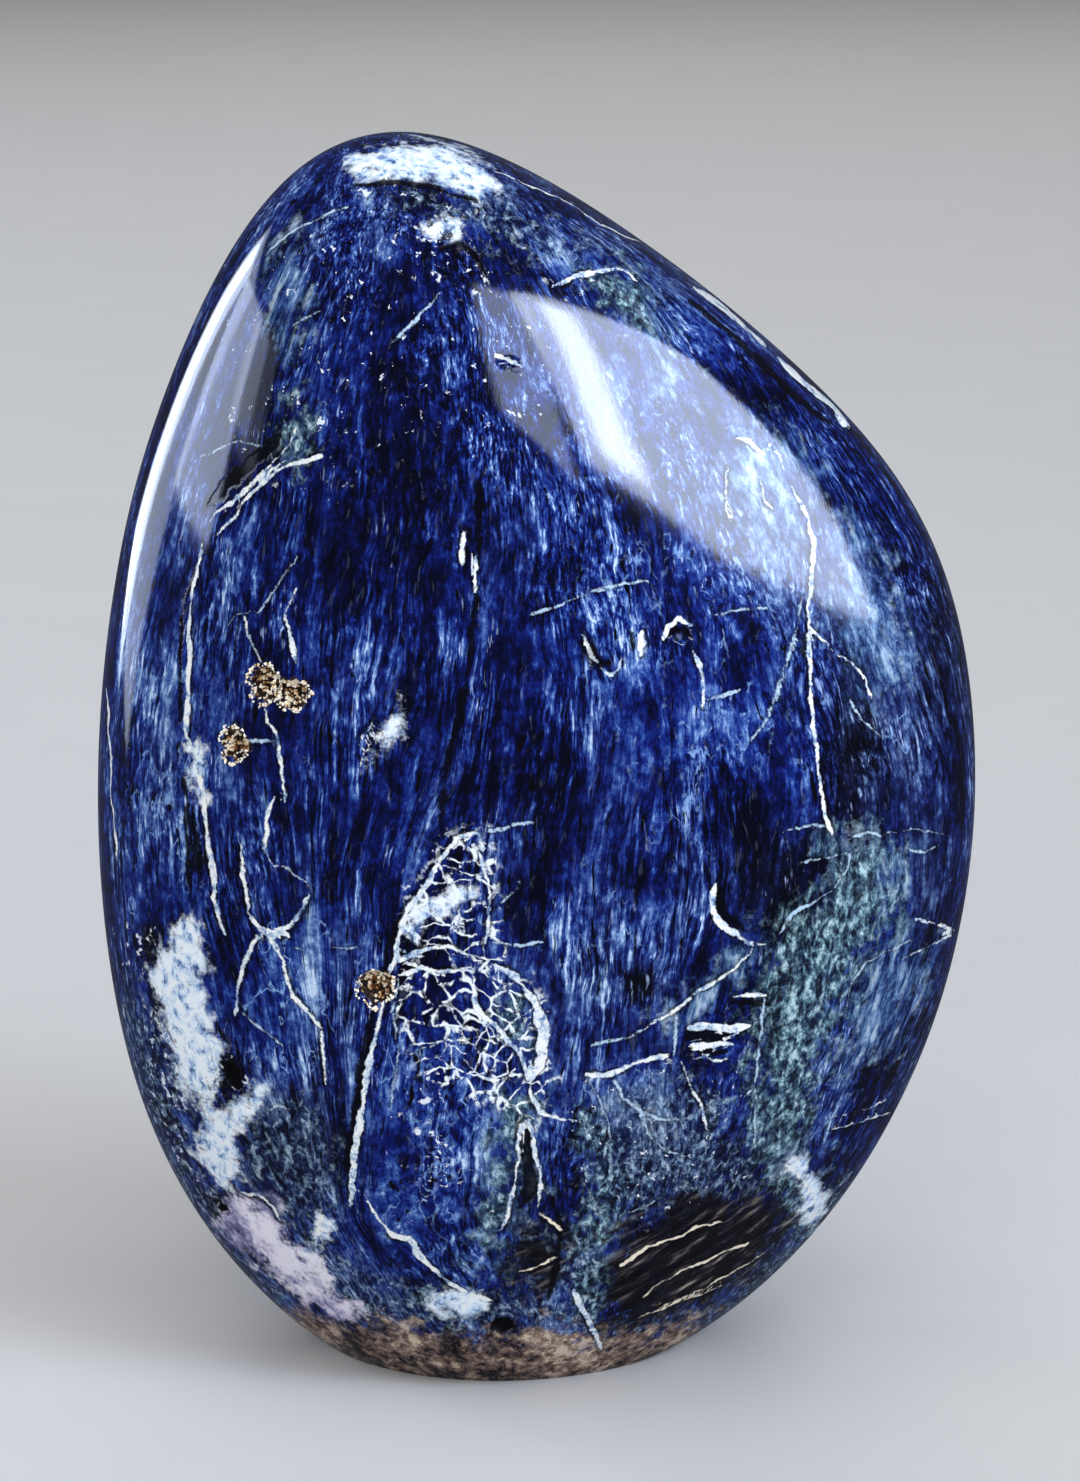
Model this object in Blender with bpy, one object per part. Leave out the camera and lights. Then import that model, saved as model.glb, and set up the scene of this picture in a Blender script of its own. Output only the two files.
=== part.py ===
# A polished dumortierite free-form: one stone, ground to gentle faces, rounded and polished all over.
# Metres, +Z up. It stands on a small flat spot, and its showing face looks along -Y.
import math

import bmesh
import bpy
from mathutils import Matrix, Vector

# The outline seen from the front. Each ground face is (degrees round from +X, distance from the core).
OUTLINE_FACES = (
    (0.0, 0.0405),
    (22.5, 0.0463),
    (45.0, 0.0471),
    (67.5, 0.0526),
    (90.0, 0.0684),
    (112.5, 0.0715),
    (135.0, 0.0595),
    (157.5, 0.0405),
    (180.0, 0.0345),
    (202.5, 0.0405),
    (225.0, 0.0520),
    (247.5, 0.0575),
    (270.0, 0.0560),
    (292.5, 0.0540),
    (315.0, 0.0520),
    (337.5, 0.0440),
)
OUTLINE_EASING = 8.0    # how firmly neighbouring outline faces keep their corners

# Half the thickness, from the core to the middle of the front and of the back.
FRONT_DEPTH = 0.022
BACK_DEPTH = 0.022
RIM_EASING = 2.5        # 2 is a round rim, and more is a squarer one

# Broad flats worn across the front and the back.
# Each is (what it is, degrees round from the front to the right, degrees up, distance from the core).
BROAD_FLATS = (
    ("upper right of the front", 28.0, 20.0, 0.0285),
    ("left shoulder", -50.0, 12.0, 0.0320),
    ("lower right of the front", 38.0, -25.0, 0.0340),
    ("lower left of the front", -38.0, -30.0, 0.0370),
    ("middle of the back", 180.0, 8.0, 0.0215),
    ("right of the back", 130.0, -12.0, 0.0320),
    ("upper left of the back", -140.0, 25.0, 0.0345),
    ("lower left of the back", -135.0, -25.0, 0.0350),
    ("upper right rim", 90.0, 50.4, 0.0448),
)
FLAT_EASING = 16.0

CORE_HEIGHT = 0.0465    # from the flat spot underneath up to the core
CAGE_CUTS = 23          # cuts along each edge of the cube that the stone is shaped from

# Natural pits left open in the polish of the front.
# Each is (what it is, x, height, half width, half length, depth), with x from the stone's middle.
PITS = (
    ("upper gold pit", -0.0210, 0.0610, 0.0015, 0.0014, 0.0011),
    ("second gold pit", -0.0189, 0.0604, 0.0014, 0.0013, 0.0010),
    ("lower gold pit", -0.0235, 0.0560, 0.0013, 0.0013, 0.0010),
    ("central gold pit", -0.0125, 0.0372, 0.0014, 0.0014, 0.0011),
    ("dark hollow", -0.0241, 0.0286, 0.0008, 0.0013, 0.0009),
    ("low dark hollow", -0.0256, 0.0150, 0.0009, 0.0009, 0.0008),
    ("slit above the base", -0.0027, 0.0067, 0.0010, 0.0011, 0.0009),
    ("small pit left of centre", 0.0044, 0.0638, 0.0005, 0.0010, 0.0004),
    ("small pit right of centre", 0.0113, 0.0648, 0.0006, 0.0006, 0.0004),
    ("flake scar near the top", -0.0020, 0.0857, 0.0010, 0.0004, 0.0003),
    ("chip on the right rim", 0.0246, 0.0786, 0.0007, 0.0009, 0.0004),
    ("chip below the top", -0.0073, 0.0952, 0.0015, 0.0006, 0.0003),
)
PIT_DETAIL = 2

STONE_COLOR = (0.012, 0.035, 0.19, 1.0)
STONE_ROUGHNESS = 0.08
MINIMUM_PART = 1e-9


def faceDirection(around, up):
    """The way a face looks: around is from the front to the right, and up is from level."""
    around = math.radians(around)
    up = math.radians(up)
    return Vector(
        (
            math.cos(up) * math.sin(around),
            -math.cos(up) * math.cos(around),
            math.sin(up),
        )
    )


def outlineDirection(around):
    around = math.radians(around)
    return Vector((math.cos(around), 0.0, math.sin(around)))


OUTLINE_PLANES = [(outlineDirection(around), reach) for around, reach in OUTLINE_FACES]
FLAT_PLANES = [
    (faceDirection(around, up), reach) for _, around, up, reach in BROAD_FLATS
]


def eased(parts, easing):
    """Joins the parts into one measure, in which the largest rules and the corners are eased."""
    return sum(part**easing for part in parts) ** (1.0 / easing)


def fullness(point):
    """1 on the stone's skin, less inside and more outside. The point is measured from the core."""
    outline = eased(
        [max(0.0, point.dot(way)) / reach for way, reach in OUTLINE_PLANES],
        OUTLINE_EASING,
    )
    depth = FRONT_DEPTH if point.y < 0.0 else BACK_DEPTH
    body = eased([outline, abs(point.y) / depth], RIM_EASING)
    flats = [max(0.0, point.dot(way)) / reach for way, reach in FLAT_PLANES]
    return eased([body, *flats], FLAT_EASING)


def skinAt(x, z):
    """The point of the front that lies at this x and z from the core."""
    near = -FRONT_DEPTH * 1.2
    far = 0.0
    for _ in range(40):
        middle = (near + far) / 2.0
        if fullness(Vector((x, middle, z))) > 1.0:
            near = middle
        else:
            far = middle
    return Vector((x, far, z))


def skinNormal(point):
    step = 1e-5
    here = fullness(point)
    slopes = [
        fullness(point + Vector((step, 0.0, 0.0))) - here,
        fullness(point + Vector((0.0, step, 0.0))) - here,
        fullness(point + Vector((0.0, 0.0, step))) - here,
    ]
    return Vector(slopes).normalized()


def clearScene():
    for item in list(bpy.data.objects):
        bpy.data.objects.remove(item, do_unlink=True)


def newCollection(name):
    collection = bpy.data.collections.new(name)
    bpy.context.scene.collection.children.link(collection)
    return collection


def newObject(shape, name, collection):
    mesh = bpy.data.meshes.new(name)
    shape.to_mesh(mesh)
    shape.free()
    item = bpy.data.objects.new(name, mesh)
    collection.objects.link(item)
    return item


def stoneMaterial():
    material = bpy.data.materials.new("blue dumortierite")
    material.use_nodes = True
    shader = material.node_tree.nodes["Principled BSDF"]
    shader.inputs["Base Color"].default_value = STONE_COLOR
    shader.inputs["Roughness"].default_value = STONE_ROUGHNESS
    shader.inputs["Metallic"].default_value = 0.0
    return material


def groundStone(collection):
    """Works a cube out to the ground faces, cuts the flat spot and stands the stone over the origin."""
    shape = bmesh.new()
    bmesh.ops.create_cube(shape, size=2.0)
    bmesh.ops.subdivide_edges(
        shape, edges=shape.edges[:], cuts=CAGE_CUTS, use_grid_fill=True
    )
    for vertex in shape.verts:
        way = vertex.co.normalized()
        vertex.co = way / fullness(way)
        vertex.co.z += CORE_HEIGHT

    # The flat spot: what reaches below the floor is sliced off, and the slice is closed.
    whole = shape.verts[:] + shape.edges[:] + shape.faces[:]
    sliced = bmesh.ops.bisect_plane(
        shape,
        geom=whole,
        dist=MINIMUM_PART,
        plane_co=(0.0, 0.0, 0.0),
        plane_no=(0.0, 0.0, -1.0),
        clear_outer=True,
    )
    rim = [part for part in sliced["geom_cut"] if isinstance(part, bmesh.types.BMEdge)]
    bmesh.ops.contextual_create(shape, geom=rim)

    # The footprint's middle becomes the origin.
    places = [vertex.co for vertex in shape.verts]
    middle = Vector(
        (
            (min(place.x for place in places) + max(place.x for place in places)) / 2.0,
            (min(place.y for place in places) + max(place.y for place in places)) / 2.0,
            0.0,
        )
    )
    bmesh.ops.translate(shape, verts=shape.verts[:], vec=-middle)
    bmesh.ops.recalc_face_normals(shape, faces=shape.faces[:])
    stone = newObject(shape, "stone", collection)
    stone.data.materials.append(stoneMaterial())
    stone.data.shade_smooth()
    return stone, middle


def pitCutter(pit, middle, collection):
    """A small rough pebble that lies half in the skin, where the pit is."""
    name, x, height, halfWidth, halfLength, depth = pit
    place = skinAt(x + middle.x, height - CORE_HEIGHT)
    outward = skinNormal(place)
    right = Vector((0.0, 0.0, 1.0)).cross(outward).normalized() * -1.0
    upward = outward.cross(right).normalized()
    turn = Matrix((right, upward, outward)).transposed().to_4x4()
    shape = bmesh.new()
    bmesh.ops.create_icosphere(shape, subdivisions=PIT_DETAIL, radius=1.0)
    for index, vertex in enumerate(shape.verts):
        roughness = 1.0 + 0.09 * math.sin(index * 2.4) + 0.06 * math.cos(index * 5.1)
        vertex.co *= roughness
    size = Matrix.Diagonal((halfWidth, halfLength, depth, 1.0))
    centre = place + Vector((0.0, 0.0, CORE_HEIGHT)) - middle
    bmesh.ops.transform(
        shape, matrix=Matrix.Translation(centre) @ turn @ size, verts=shape.verts[:]
    )
    bmesh.ops.recalc_face_normals(shape, faces=shape.faces[:])
    cutter = newObject(shape, name, collection)
    cutter.hide_render = True
    cutter.display_type = "WIRE"
    return cutter


def cutPits(stone, middle):
    cutters = newCollection("pit cutters")
    for pit in PITS:
        pitCutter(pit, middle, cutters)
    cut = stone.modifiers.new("open pits", "BOOLEAN")
    cut.operand_type = "COLLECTION"
    cut.collection = cutters
    cut.operation = "DIFFERENCE"
    cut.solver = "EXACT"


clearScene()
stone, middle = groundStone(newCollection("polished dumortierite"))
cutPits(stone, middle)
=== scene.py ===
import math
import random

import bmesh
import bpy
import numpy as np
from mathutils import Matrix, Quaternion, Vector, kdtree, noise
from mathutils.bvhtree import BVHTree


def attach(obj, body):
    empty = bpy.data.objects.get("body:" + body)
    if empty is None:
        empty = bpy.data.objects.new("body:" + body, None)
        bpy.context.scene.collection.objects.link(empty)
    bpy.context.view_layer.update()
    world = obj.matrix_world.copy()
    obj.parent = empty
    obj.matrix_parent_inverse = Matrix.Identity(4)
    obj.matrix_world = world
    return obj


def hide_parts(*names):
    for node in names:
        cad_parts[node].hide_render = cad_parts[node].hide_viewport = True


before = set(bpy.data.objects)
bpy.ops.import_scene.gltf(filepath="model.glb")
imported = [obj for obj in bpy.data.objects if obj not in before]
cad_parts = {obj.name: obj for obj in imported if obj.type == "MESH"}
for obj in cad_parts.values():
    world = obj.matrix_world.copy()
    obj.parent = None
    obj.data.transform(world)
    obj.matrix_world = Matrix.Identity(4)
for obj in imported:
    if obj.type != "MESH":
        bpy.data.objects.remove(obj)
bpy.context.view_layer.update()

# A polished dumortierite free-form, dressed in its fibres, veins and pits.
# Shapes are in metres. Markings are strokes and outlines on the front view, in pixels of a 1080 x 1482 frame.

view = {
    "frameWidth": 1080,
    "frameHeight": 1482,
    "elevation": 14.0,      # degrees above level
    "distance": 0.380,
    "aim": (0.0004, 0.0003, 0.0517),
    "lens": 112.6,          # on a 36 mm sensor side
    "sensor": 36.0,
    "pixelsPerMm": 12.2,    # at the stone
}

stone = {
    # each outline face is (degrees round from +X, distance from the core)
    "outlineFaces": (
        (0.0, 0.0405),
        (22.5, 0.0463),
        (45.0, 0.0471),
        (67.5, 0.0526),
        (90.0, 0.0684),
        (112.5, 0.0715),
        (135.0, 0.0595),
        (157.5, 0.0405),
        (180.0, 0.0345),
        (202.5, 0.0405),
        (225.0, 0.0520),
        (247.5, 0.0575),
        (270.0, 0.0560),
        (292.5, 0.0540),
        (315.0, 0.0520),
        (337.5, 0.0440),
    ),
    # each broad flat is (degrees round from the front to the right, degrees up, distance from the core)
    "broadFlats": (
        (28.0, 20.0, 0.0285),
        (-50.0, 12.0, 0.0320),
        (38.0, -25.0, 0.0340),
        (-38.0, -30.0, 0.0370),
        (180.0, 8.0, 0.0215),
        (130.0, -12.0, 0.0320),
        (-140.0, 25.0, 0.0345),
        (-135.0, -25.0, 0.0350),
        (90.0, 50.4, 0.0448),
    ),
    "outlineEasing": 8.0,
    "rimEasing": 2.5,
    "flatEasing": 16.0,
    "depth": 0.022,
    "coreHeight": 0.0465,
    "reach": (0.036, 0.022, 0.050),     # rough half sizes, which spread the mesh evenly
    "cageCuts": 71,
    "polishWave": 0.00005,              # the hand polish is never quite even
    "polishWaveLength": 0.011,
}

# Natural pits: (x, height, half width, half length, depth), with x from the stone's middle.
pits = {
    "upper gold": (-0.0210, 0.0610, 0.0015, 0.0014, 0.0011),
    "second gold": (-0.0189, 0.0604, 0.0014, 0.0013, 0.0010),
    "lower gold": (-0.0235, 0.0560, 0.0013, 0.0013, 0.0010),
    "central gold": (-0.0125, 0.0372, 0.0014, 0.0014, 0.0011),
    "dark hollow": (-0.0241, 0.0286, 0.0008, 0.0013, 0.0009),
    "low dark hollow": (-0.0256, 0.0150, 0.0009, 0.0009, 0.0008),
    "slit above the base": (-0.0027, 0.0067, 0.0010, 0.0011, 0.0009),
    "small left": (0.0044, 0.0638, 0.0005, 0.0010, 0.0004),
    "small right": (0.0113, 0.0648, 0.0006, 0.0006, 0.0004),
    "flake scar": (-0.0020, 0.0857, 0.0010, 0.0004, 0.0003),
    "rim chip": (0.0246, 0.0786, 0.0007, 0.0009, 0.0004),
    "top chip": (-0.0073, 0.0952, 0.0015, 0.0006, 0.0003),
}

# Guides of the fibres, from the top of the stone to its foot. The fibres fan out between them.
fibreGuides = {
    "left rim": ((300, 150), (215, 290), (140, 470), (98, 780), (120, 950), (160, 1120), (330, 1350)),
    "left vein": ((330, 150), (262, 330), (205, 540), (187, 740), (212, 900), (285, 1220), (370, 1360)),
    "by the pits": ((360, 150), (320, 330), (285, 540), (272, 740), (285, 900), (340, 1220), (410, 1370)),
    "left of centre": ((400, 150), (395, 330), (385, 540), (365, 740), (345, 900), (345, 1220), (440, 1375)),
    "dark line": ((430, 150), (470, 330), (478, 551), (452, 740), (410, 900), (370, 1220), (470, 1380)),
    "centre": ((460, 150), (520, 330), (545, 540), (545, 740), (535, 900), (510, 1220), (520, 1385)),
    "right of centre": ((490, 150), (590, 330), (640, 540), (645, 740), (640, 900), (600, 1220), (590, 1375)),
    "right": ((520, 160), (670, 330), (735, 540), (745, 740), (740, 900), (700, 1220), (660, 1350)),
    "right vein": ((560, 180), (740, 330), (805, 500), (820, 740), (830, 900), (790, 1180), (730, 1310)),
    "right rim": ((600, 200), (830, 390), (925, 540), (975, 770), (965, 900), (880, 1120), (800, 1260)),
}

# White veins. Each is (width in mm, its way down the stone).
whiteVeins = {
    "fork, long arm": (0.34, ((205, 541), (216, 536), (230, 521), (242, 506), (252, 493), (280, 468), (322, 455))),
    "fork, inner arm": (0.24, ((206, 530), (214, 516), (226, 505), (250, 485), (276, 460), (288, 446), (296, 430))),
    "left, upper": (0.60, ((204, 540), (193, 587), (189, 627), (189, 658), (187, 704), (187, 740))),
    "left, lower": (0.60, ((190, 742), (197, 760), (202, 785), (206, 826), (212, 866), (215, 903), (224, 933))),
    "left rim": (0.40, ((106, 690), (111, 750), (111, 796), (114, 826), (118, 860))),
    "pit, above": (0.20, ((245, 615), (248, 633), (255, 646), (261, 662))),
    "pit, right above": (0.34, ((297, 588), (284, 612), (287, 624), (291, 636), (294, 662))),
    "pit, below": (0.34, ((264, 701), (267, 722), (276, 731), (279, 753), (282, 780), (285, 805))),
    "to the junction": (0.34, ((273, 796), (267, 820), (265, 851), (273, 866), (285, 866), (300, 878), (311, 890))),
    "junction, right": (0.50, ((311, 890), (303, 906), (291, 924), (273, 933))),
    "junction, up": (0.44, ((264, 933), (248, 915), (245, 887), (242, 863), (241, 840))),
    "junction, left": (0.44, ((264, 933), (253, 941), (243, 964), (237, 992), (236, 1016))),
    "junction, down": (0.32, ((268, 936), (275, 945), (285, 970), (291, 996), (307, 1012), (320, 1028))),
    "junction, middle": (0.62, ((258, 938), (268, 932), (280, 931), (287, 935))),
    "junction, tail": (0.20, ((320, 1028), (323, 1053), (326, 1083))),
    "diagonal, upper": (0.44, ((408, 905), (397, 948), (387, 983), (381, 1012), (371, 1053))),
    "diagonal, lower": (0.60, ((371, 1053), (365, 1091), (358, 1130), (352, 1171), (351, 1206))),
    "net, top": (0.40, ((404, 915), (425, 890), (440, 862), (455, 838), (478, 832), (484, 850))),
    "net, arc": (0.72, ((490, 962), (515, 977), (530, 996), (543, 1018), (546, 1037), (540, 1066), (530, 1081))),
    "net, upper bar": (0.42, ((397, 962), (422, 950), (451, 946), (473, 958), (490, 962))),
    "net, middle bar": (0.36, ((400, 975), (422, 968), (451, 972), (473, 966), (495, 966))),
    "net, inner": (0.52, ((473, 973), (476, 1005), (489, 1021), (508, 1040), (521, 1056), (530, 1081))),
    "net, left loop": (0.26, ((412, 1053), (438, 1043), (457, 1040), (479, 1037), (499, 1043))),
    "net, short bar": (0.30, ((451, 1008), (463, 1028), (483, 1030))),
    "net, lower bar": (0.28, ((460, 1056), (479, 1075), (492, 1082), (505, 1078))),
    "net, right string": (0.30, ((478, 850), (488, 880), (489, 915), (484, 950), (492, 985))),
    "net, arc's thick part": (0.95, ((536, 1012), (544, 1030), (542, 1052), (534, 1072))),
    "net, foot": (0.50, ((530, 1079), (532, 1098), (540, 1112), (562, 1120), (582, 1121))),
    "below the net": (0.34, ((528, 1119), (535, 1149), (541, 1181), (538, 1204))),
    "below the net, left edge": (0.40, ((521, 1124), (518, 1150), (516, 1180), (508, 1214), (500, 1232))),
    "foot of the oval": (0.50, ((365, 1197), (377, 1219), (393, 1235), (412, 1238), (419, 1257), (444, 1279))),
    "foot, right": (0.44, ((444, 1279), (470, 1295), (492, 1300))),
    "right squiggle": (0.28, ((736, 437), (750, 440), (764, 456), (771, 444), (782, 460), (789, 483))),
    "right, upper": (0.46, ((789, 483), (805, 511), (814, 543), (812, 571), (808, 612))),
    "right, middle": (0.48, ((808, 612), (811, 663), (811, 708), (816, 749), (820, 784), (825, 818), (834, 836))),
    "left squiggle": (0.24, ((727, 470), (727, 511), (732, 520), (735, 504))),
    "squiggle cluster": (0.30, ((759, 474), (764, 499), (773, 509))),
    "right branch": (0.30, ((815, 632), (832, 650), (853, 663), (863, 677), (873, 698))),
    "hook": (0.50, ((715, 887), (711, 908), (722, 925), (746, 942), (766, 944))),
    "low diagonal": (0.30, ((753, 949), (732, 970), (701, 990), (674, 1011), (646, 1028))),
    "low bar": (0.60, ((590, 1076), (612, 1074), (639, 1062), (668, 1055))),
    "slit edge, upper": (0.50, ((735, 997), (748, 995), (764, 996))),
    "slit edge, middle": (0.66, ((690, 1028), (708, 1026), (733, 1030), (748, 1026))),
    "slit edge, lower": (0.50, ((690, 1044), (712, 1045), (732, 1044))),
    "slit edge, lowest": (0.20, ((694, 1058), (712, 1060), (728, 1059))),
    "right foot branch": (0.24, ((680, 1060), (687, 1079), (701, 1107), (706, 1130))),
    "right rim line": (0.34, ((918, 918), (935, 924), (954, 930))),
    "right rim line, lower": (0.24, ((898, 962), (925, 947), (950, 936))),
    "lower right, upper line": (0.20, ((825, 1120), (856, 1112), (886, 1101))),
    "lower right, lower line": (0.24, ((832, 1129), (860, 1122), (890, 1112))),
    # painted highlight: a small chip catching the light, drawn as a short broad pale stroke
    "flake": (1.15, ((497, 356), (508, 359), (520, 366))),
    "bright slits, upper": (0.50, ((464, 530), (462, 550), (462, 566))),
    "bright slits, lower": (0.52, ((477, 556), (474, 575), (475, 592))),
    "chip by the oval": (0.50, ((322, 1218), (320, 1232), (315, 1247))),
    "notch, left rim": (0.40, ((584, 636), (590, 652), (598, 662))),
    "notch, left foot": (0.56, ((602, 670), (610, 675), (620, 669), (622, 658))),
    "notch, dash": (0.95, ((640, 632), (641, 642), (641, 654))),
    "notch, right arch": (0.50, ((664, 636), (670, 624), (680, 619), (692, 626))),
    "notch, right tail": (0.40, ((692, 650), (700, 664), (704, 686), (702, 708))),
    # a broad pale band along the upper right rim, drawn with the same strokes as the veins
    "rim sliver": (3.0, ((699, 291), (719, 305), (742, 324), (761, 341))),
    "rim sliver, lower": (2.2, ((782, 362), (804, 382), (826, 400), (846, 420))),
    "foot streak": (0.56, ((574, 1290), (584, 1312), (594, 1332), (601, 1351))),
    "pale dash, hook": (0.34, ((384, 732), (372, 741), (364, 752), (360, 766))),
    "pale dash, fork": (0.30, ((372, 722), (364, 736), (358, 748))),
    "lavender edge": (0.34, ((242, 1192), (258, 1195), (272, 1204), (280, 1220))),
    "teal foot, pale": (0.40, ((784, 1164), (796, 1170), (808, 1186), (815, 1206), (812, 1224))),
    "crown edge": (0.30, ((485, 166), (521, 182), (559, 197), (597, 222), (640, 243))),
    "upper right arc": (0.34, ((552, 286), (579, 276), (597, 271), (618, 267), (634, 280))),
}

# Hairline cracks, thinner and fainter.
hairlines = {
    "fork, left": (0.14, ((202, 456), (222, 448), (236, 441), (264, 447))),
    "top left": (0.16, ((264, 257), (280, 240), (299, 228), (324, 215), (346, 207))),
    "above the pits": (0.14, ((227, 624), (236, 616), (250, 612))),
    "above the pits, diagonal": (0.14, ((258, 612), (270, 596), (285, 574), (298, 556))),
    "pit bar": (0.20, ((245, 740), (262, 741), (275, 740))),
    "junction side": (0.14, ((243, 1015), (256, 1024), (272, 1037), (283, 1046))),
    "dash": (0.18, ((334, 948), (345, 949), (356, 948))),
    "dash, left": (0.14, ((294, 948), (302, 950))),
    "centre": (0.16, ((529, 615), (545, 609), (563, 605), (580, 596), (598, 591), (625, 584), (646, 582))),
    "right of centre": (0.14, ((715, 615), (736, 610), (767, 608))),
    "short, right": (0.14, ((708, 701), (722, 696), (738, 690))),
    "branch, left": (0.15, ((804, 594), (794, 636), (780, 677), (770, 715), (749, 743))),
    "branch, left twin": (0.13, ((798, 640), (788, 660), (776, 700), (768, 712))),
    "net, arm": (0.22, ((484, 832), (512, 826), (532, 822))),
    "net, arm below": (0.16, ((495, 942), (515, 946), (540, 943))),
    "net, arm above": (0.16, ((500, 905), (515, 890), (520, 880))),
    "net, oval side": (0.16, ((398, 980), (392, 1010), (398, 1050), (392, 1100))),
    "foot bar": (0.16, ((586, 1076), (600, 1100), (610, 1130), (604, 1160))),
    "right foot": (0.16, ((674, 1011), (676, 1040), (674, 1055))),
    "low strand": (0.16, ((629, 1213), (646, 1207), (662, 1196))),
    "right strand": (0.16, ((850, 700), (862, 720), (880, 735))),
    "right bar": (0.20, ((848, 838), (868, 832), (884, 838))),
    "right bar, left": (0.14, ((785, 832), (806, 826), (826, 826))),
    "right bar, low": (0.14, ((800, 862), (830, 858), (848, 852))),
    "far right bar": (0.12, ((880, 832), (920, 830), (950, 836))),
    "rim dash": (0.14, ((905, 848), (925, 852), (938, 846))),
    "low diagonal, end": (0.20, ((646, 1028), (630, 1036), (612, 1042), (590, 1044))),
    "top diagonal": (0.12, ((390, 345), (405, 330), (425, 310), (440, 290))),
    "low dash": (0.26, ((268, 1112), (278, 1106), (290, 1109))),
    "low branches, upper": (0.16, ((612, 1074), (622, 1096), (640, 1112), (662, 1120), (684, 1118))),
    "low branches, lower": (0.14, ((640, 1112), (648, 1136), (664, 1150), (690, 1156))),
    "teal, left edge": (0.13, ((764, 1000), (760, 1040), (756, 1080), (754, 1120), (756, 1146))),
    "teal, head": (0.16, ((778, 934), (792, 914), (812, 904), (830, 892), (846, 872), (852, 850))),
    "teal, right": (0.12, ((846, 1008), (852, 984), (866, 962), (890, 950), (912, 940))),
    "left dashes": (0.14, ((290, 330), (300, 320), (318, 312))),
}

# Cream streaks in the brown band at the lower right.
creamStreaks = {
    "upper": (0.42, ((622, 1265), (634, 1256), (646, 1248), (658, 1243), (676, 1238))),
    "upper, faint": (0.30, ((676, 1238), (700, 1226), (724, 1222))),
    "third": (0.16, ((664, 1306), (690, 1294), (716, 1282), (744, 1266), (768, 1250))),
    "lower": (0.50, ((643, 1296), (657, 1285), (674, 1275), (688, 1268), (701, 1263), (725, 1251), (746, 1244))),
    "lower, faint": (0.18, ((640, 1318), (668, 1306), (700, 1294), (726, 1284))),
    "left": (0.40, ((537, 1212), (548, 1218), (562, 1232))),
    "left, low": (0.20, ((520, 1272), (536, 1266), (556, 1258))),
}

# Dark cracks and slits, and painted shadows beside some veins and the flake.
darkCracks = {
    "long dark line": (0.45, ((478, 480), (479, 551), (475, 612), (469, 660), (463, 704), (447, 765), (441, 826))),
    # painted shadows along the dark side of the diagonal and left veins
    "painted shadow beside the diagonal": (0.55, ((398, 925), (388, 950), (379, 985), (372, 1010), (364, 1053), (357, 1100), (346, 1171))),
    "painted shadow beside the left vein": (0.30, ((199, 560), (184, 600), (180, 650), (181, 720))),
    "above the fork": (1.10, ((210, 504), (226, 486), (246, 468), (262, 454), (278, 436))),
    "oval slit": (0.60, ((539, 1012), (545, 1040), (540, 1066), (534, 1082))),
    "foot slit": (0.95, ((525, 1130), (528, 1156), (530, 1186), (524, 1204))),
    "slit, upper": (0.45, ((730, 1003), (746, 1002), (768, 1003))),
    "slit, middle": (0.80, ((688, 1036), (706, 1035), (728, 1038))),
    "slit, lower": (0.50, ((700, 1051), (714, 1052), (726, 1051))),
    "left rim crack": (0.35, ((182, 780), (186, 800), (188, 850), (190, 885))),
    "left dark streak": (0.55, ((192, 805), (196, 840), (198, 870))),
    "top crack": (0.40, ((420, 243), (440, 248), (462, 244), (474, 256), (486, 276))),
    "crown crack": (0.40, ((350, 186), (383, 183), (420, 184), (452, 194), (476, 202))),
    # a dark band just inside the pale rim band
    "dark band inside the rim sliver": (0.70, ((690, 300), (740, 342), (790, 392), (830, 424))),
    "low crack": (0.40, ((552, 1200), (560, 1230), (556, 1270), (548, 1300))),
    "notch, left": (0.75, ((583, 640), (592, 656), (600, 666), (608, 664))),
    "notch, by the dash": (0.40, ((632, 632), (633, 645), (634, 656))),
    "notch, right": (0.75, ((672, 632), (682, 629), (692, 636))),
    # painted shadows: under the flake's painted highlight, and beside the hook
    "painted shadow under the flake": (0.12, ((500, 366), (512, 371), (524, 374))),
    "painted shadow by the hook": (0.45, ((722, 888), (719, 906), (728, 918), (748, 932))),
}

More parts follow.
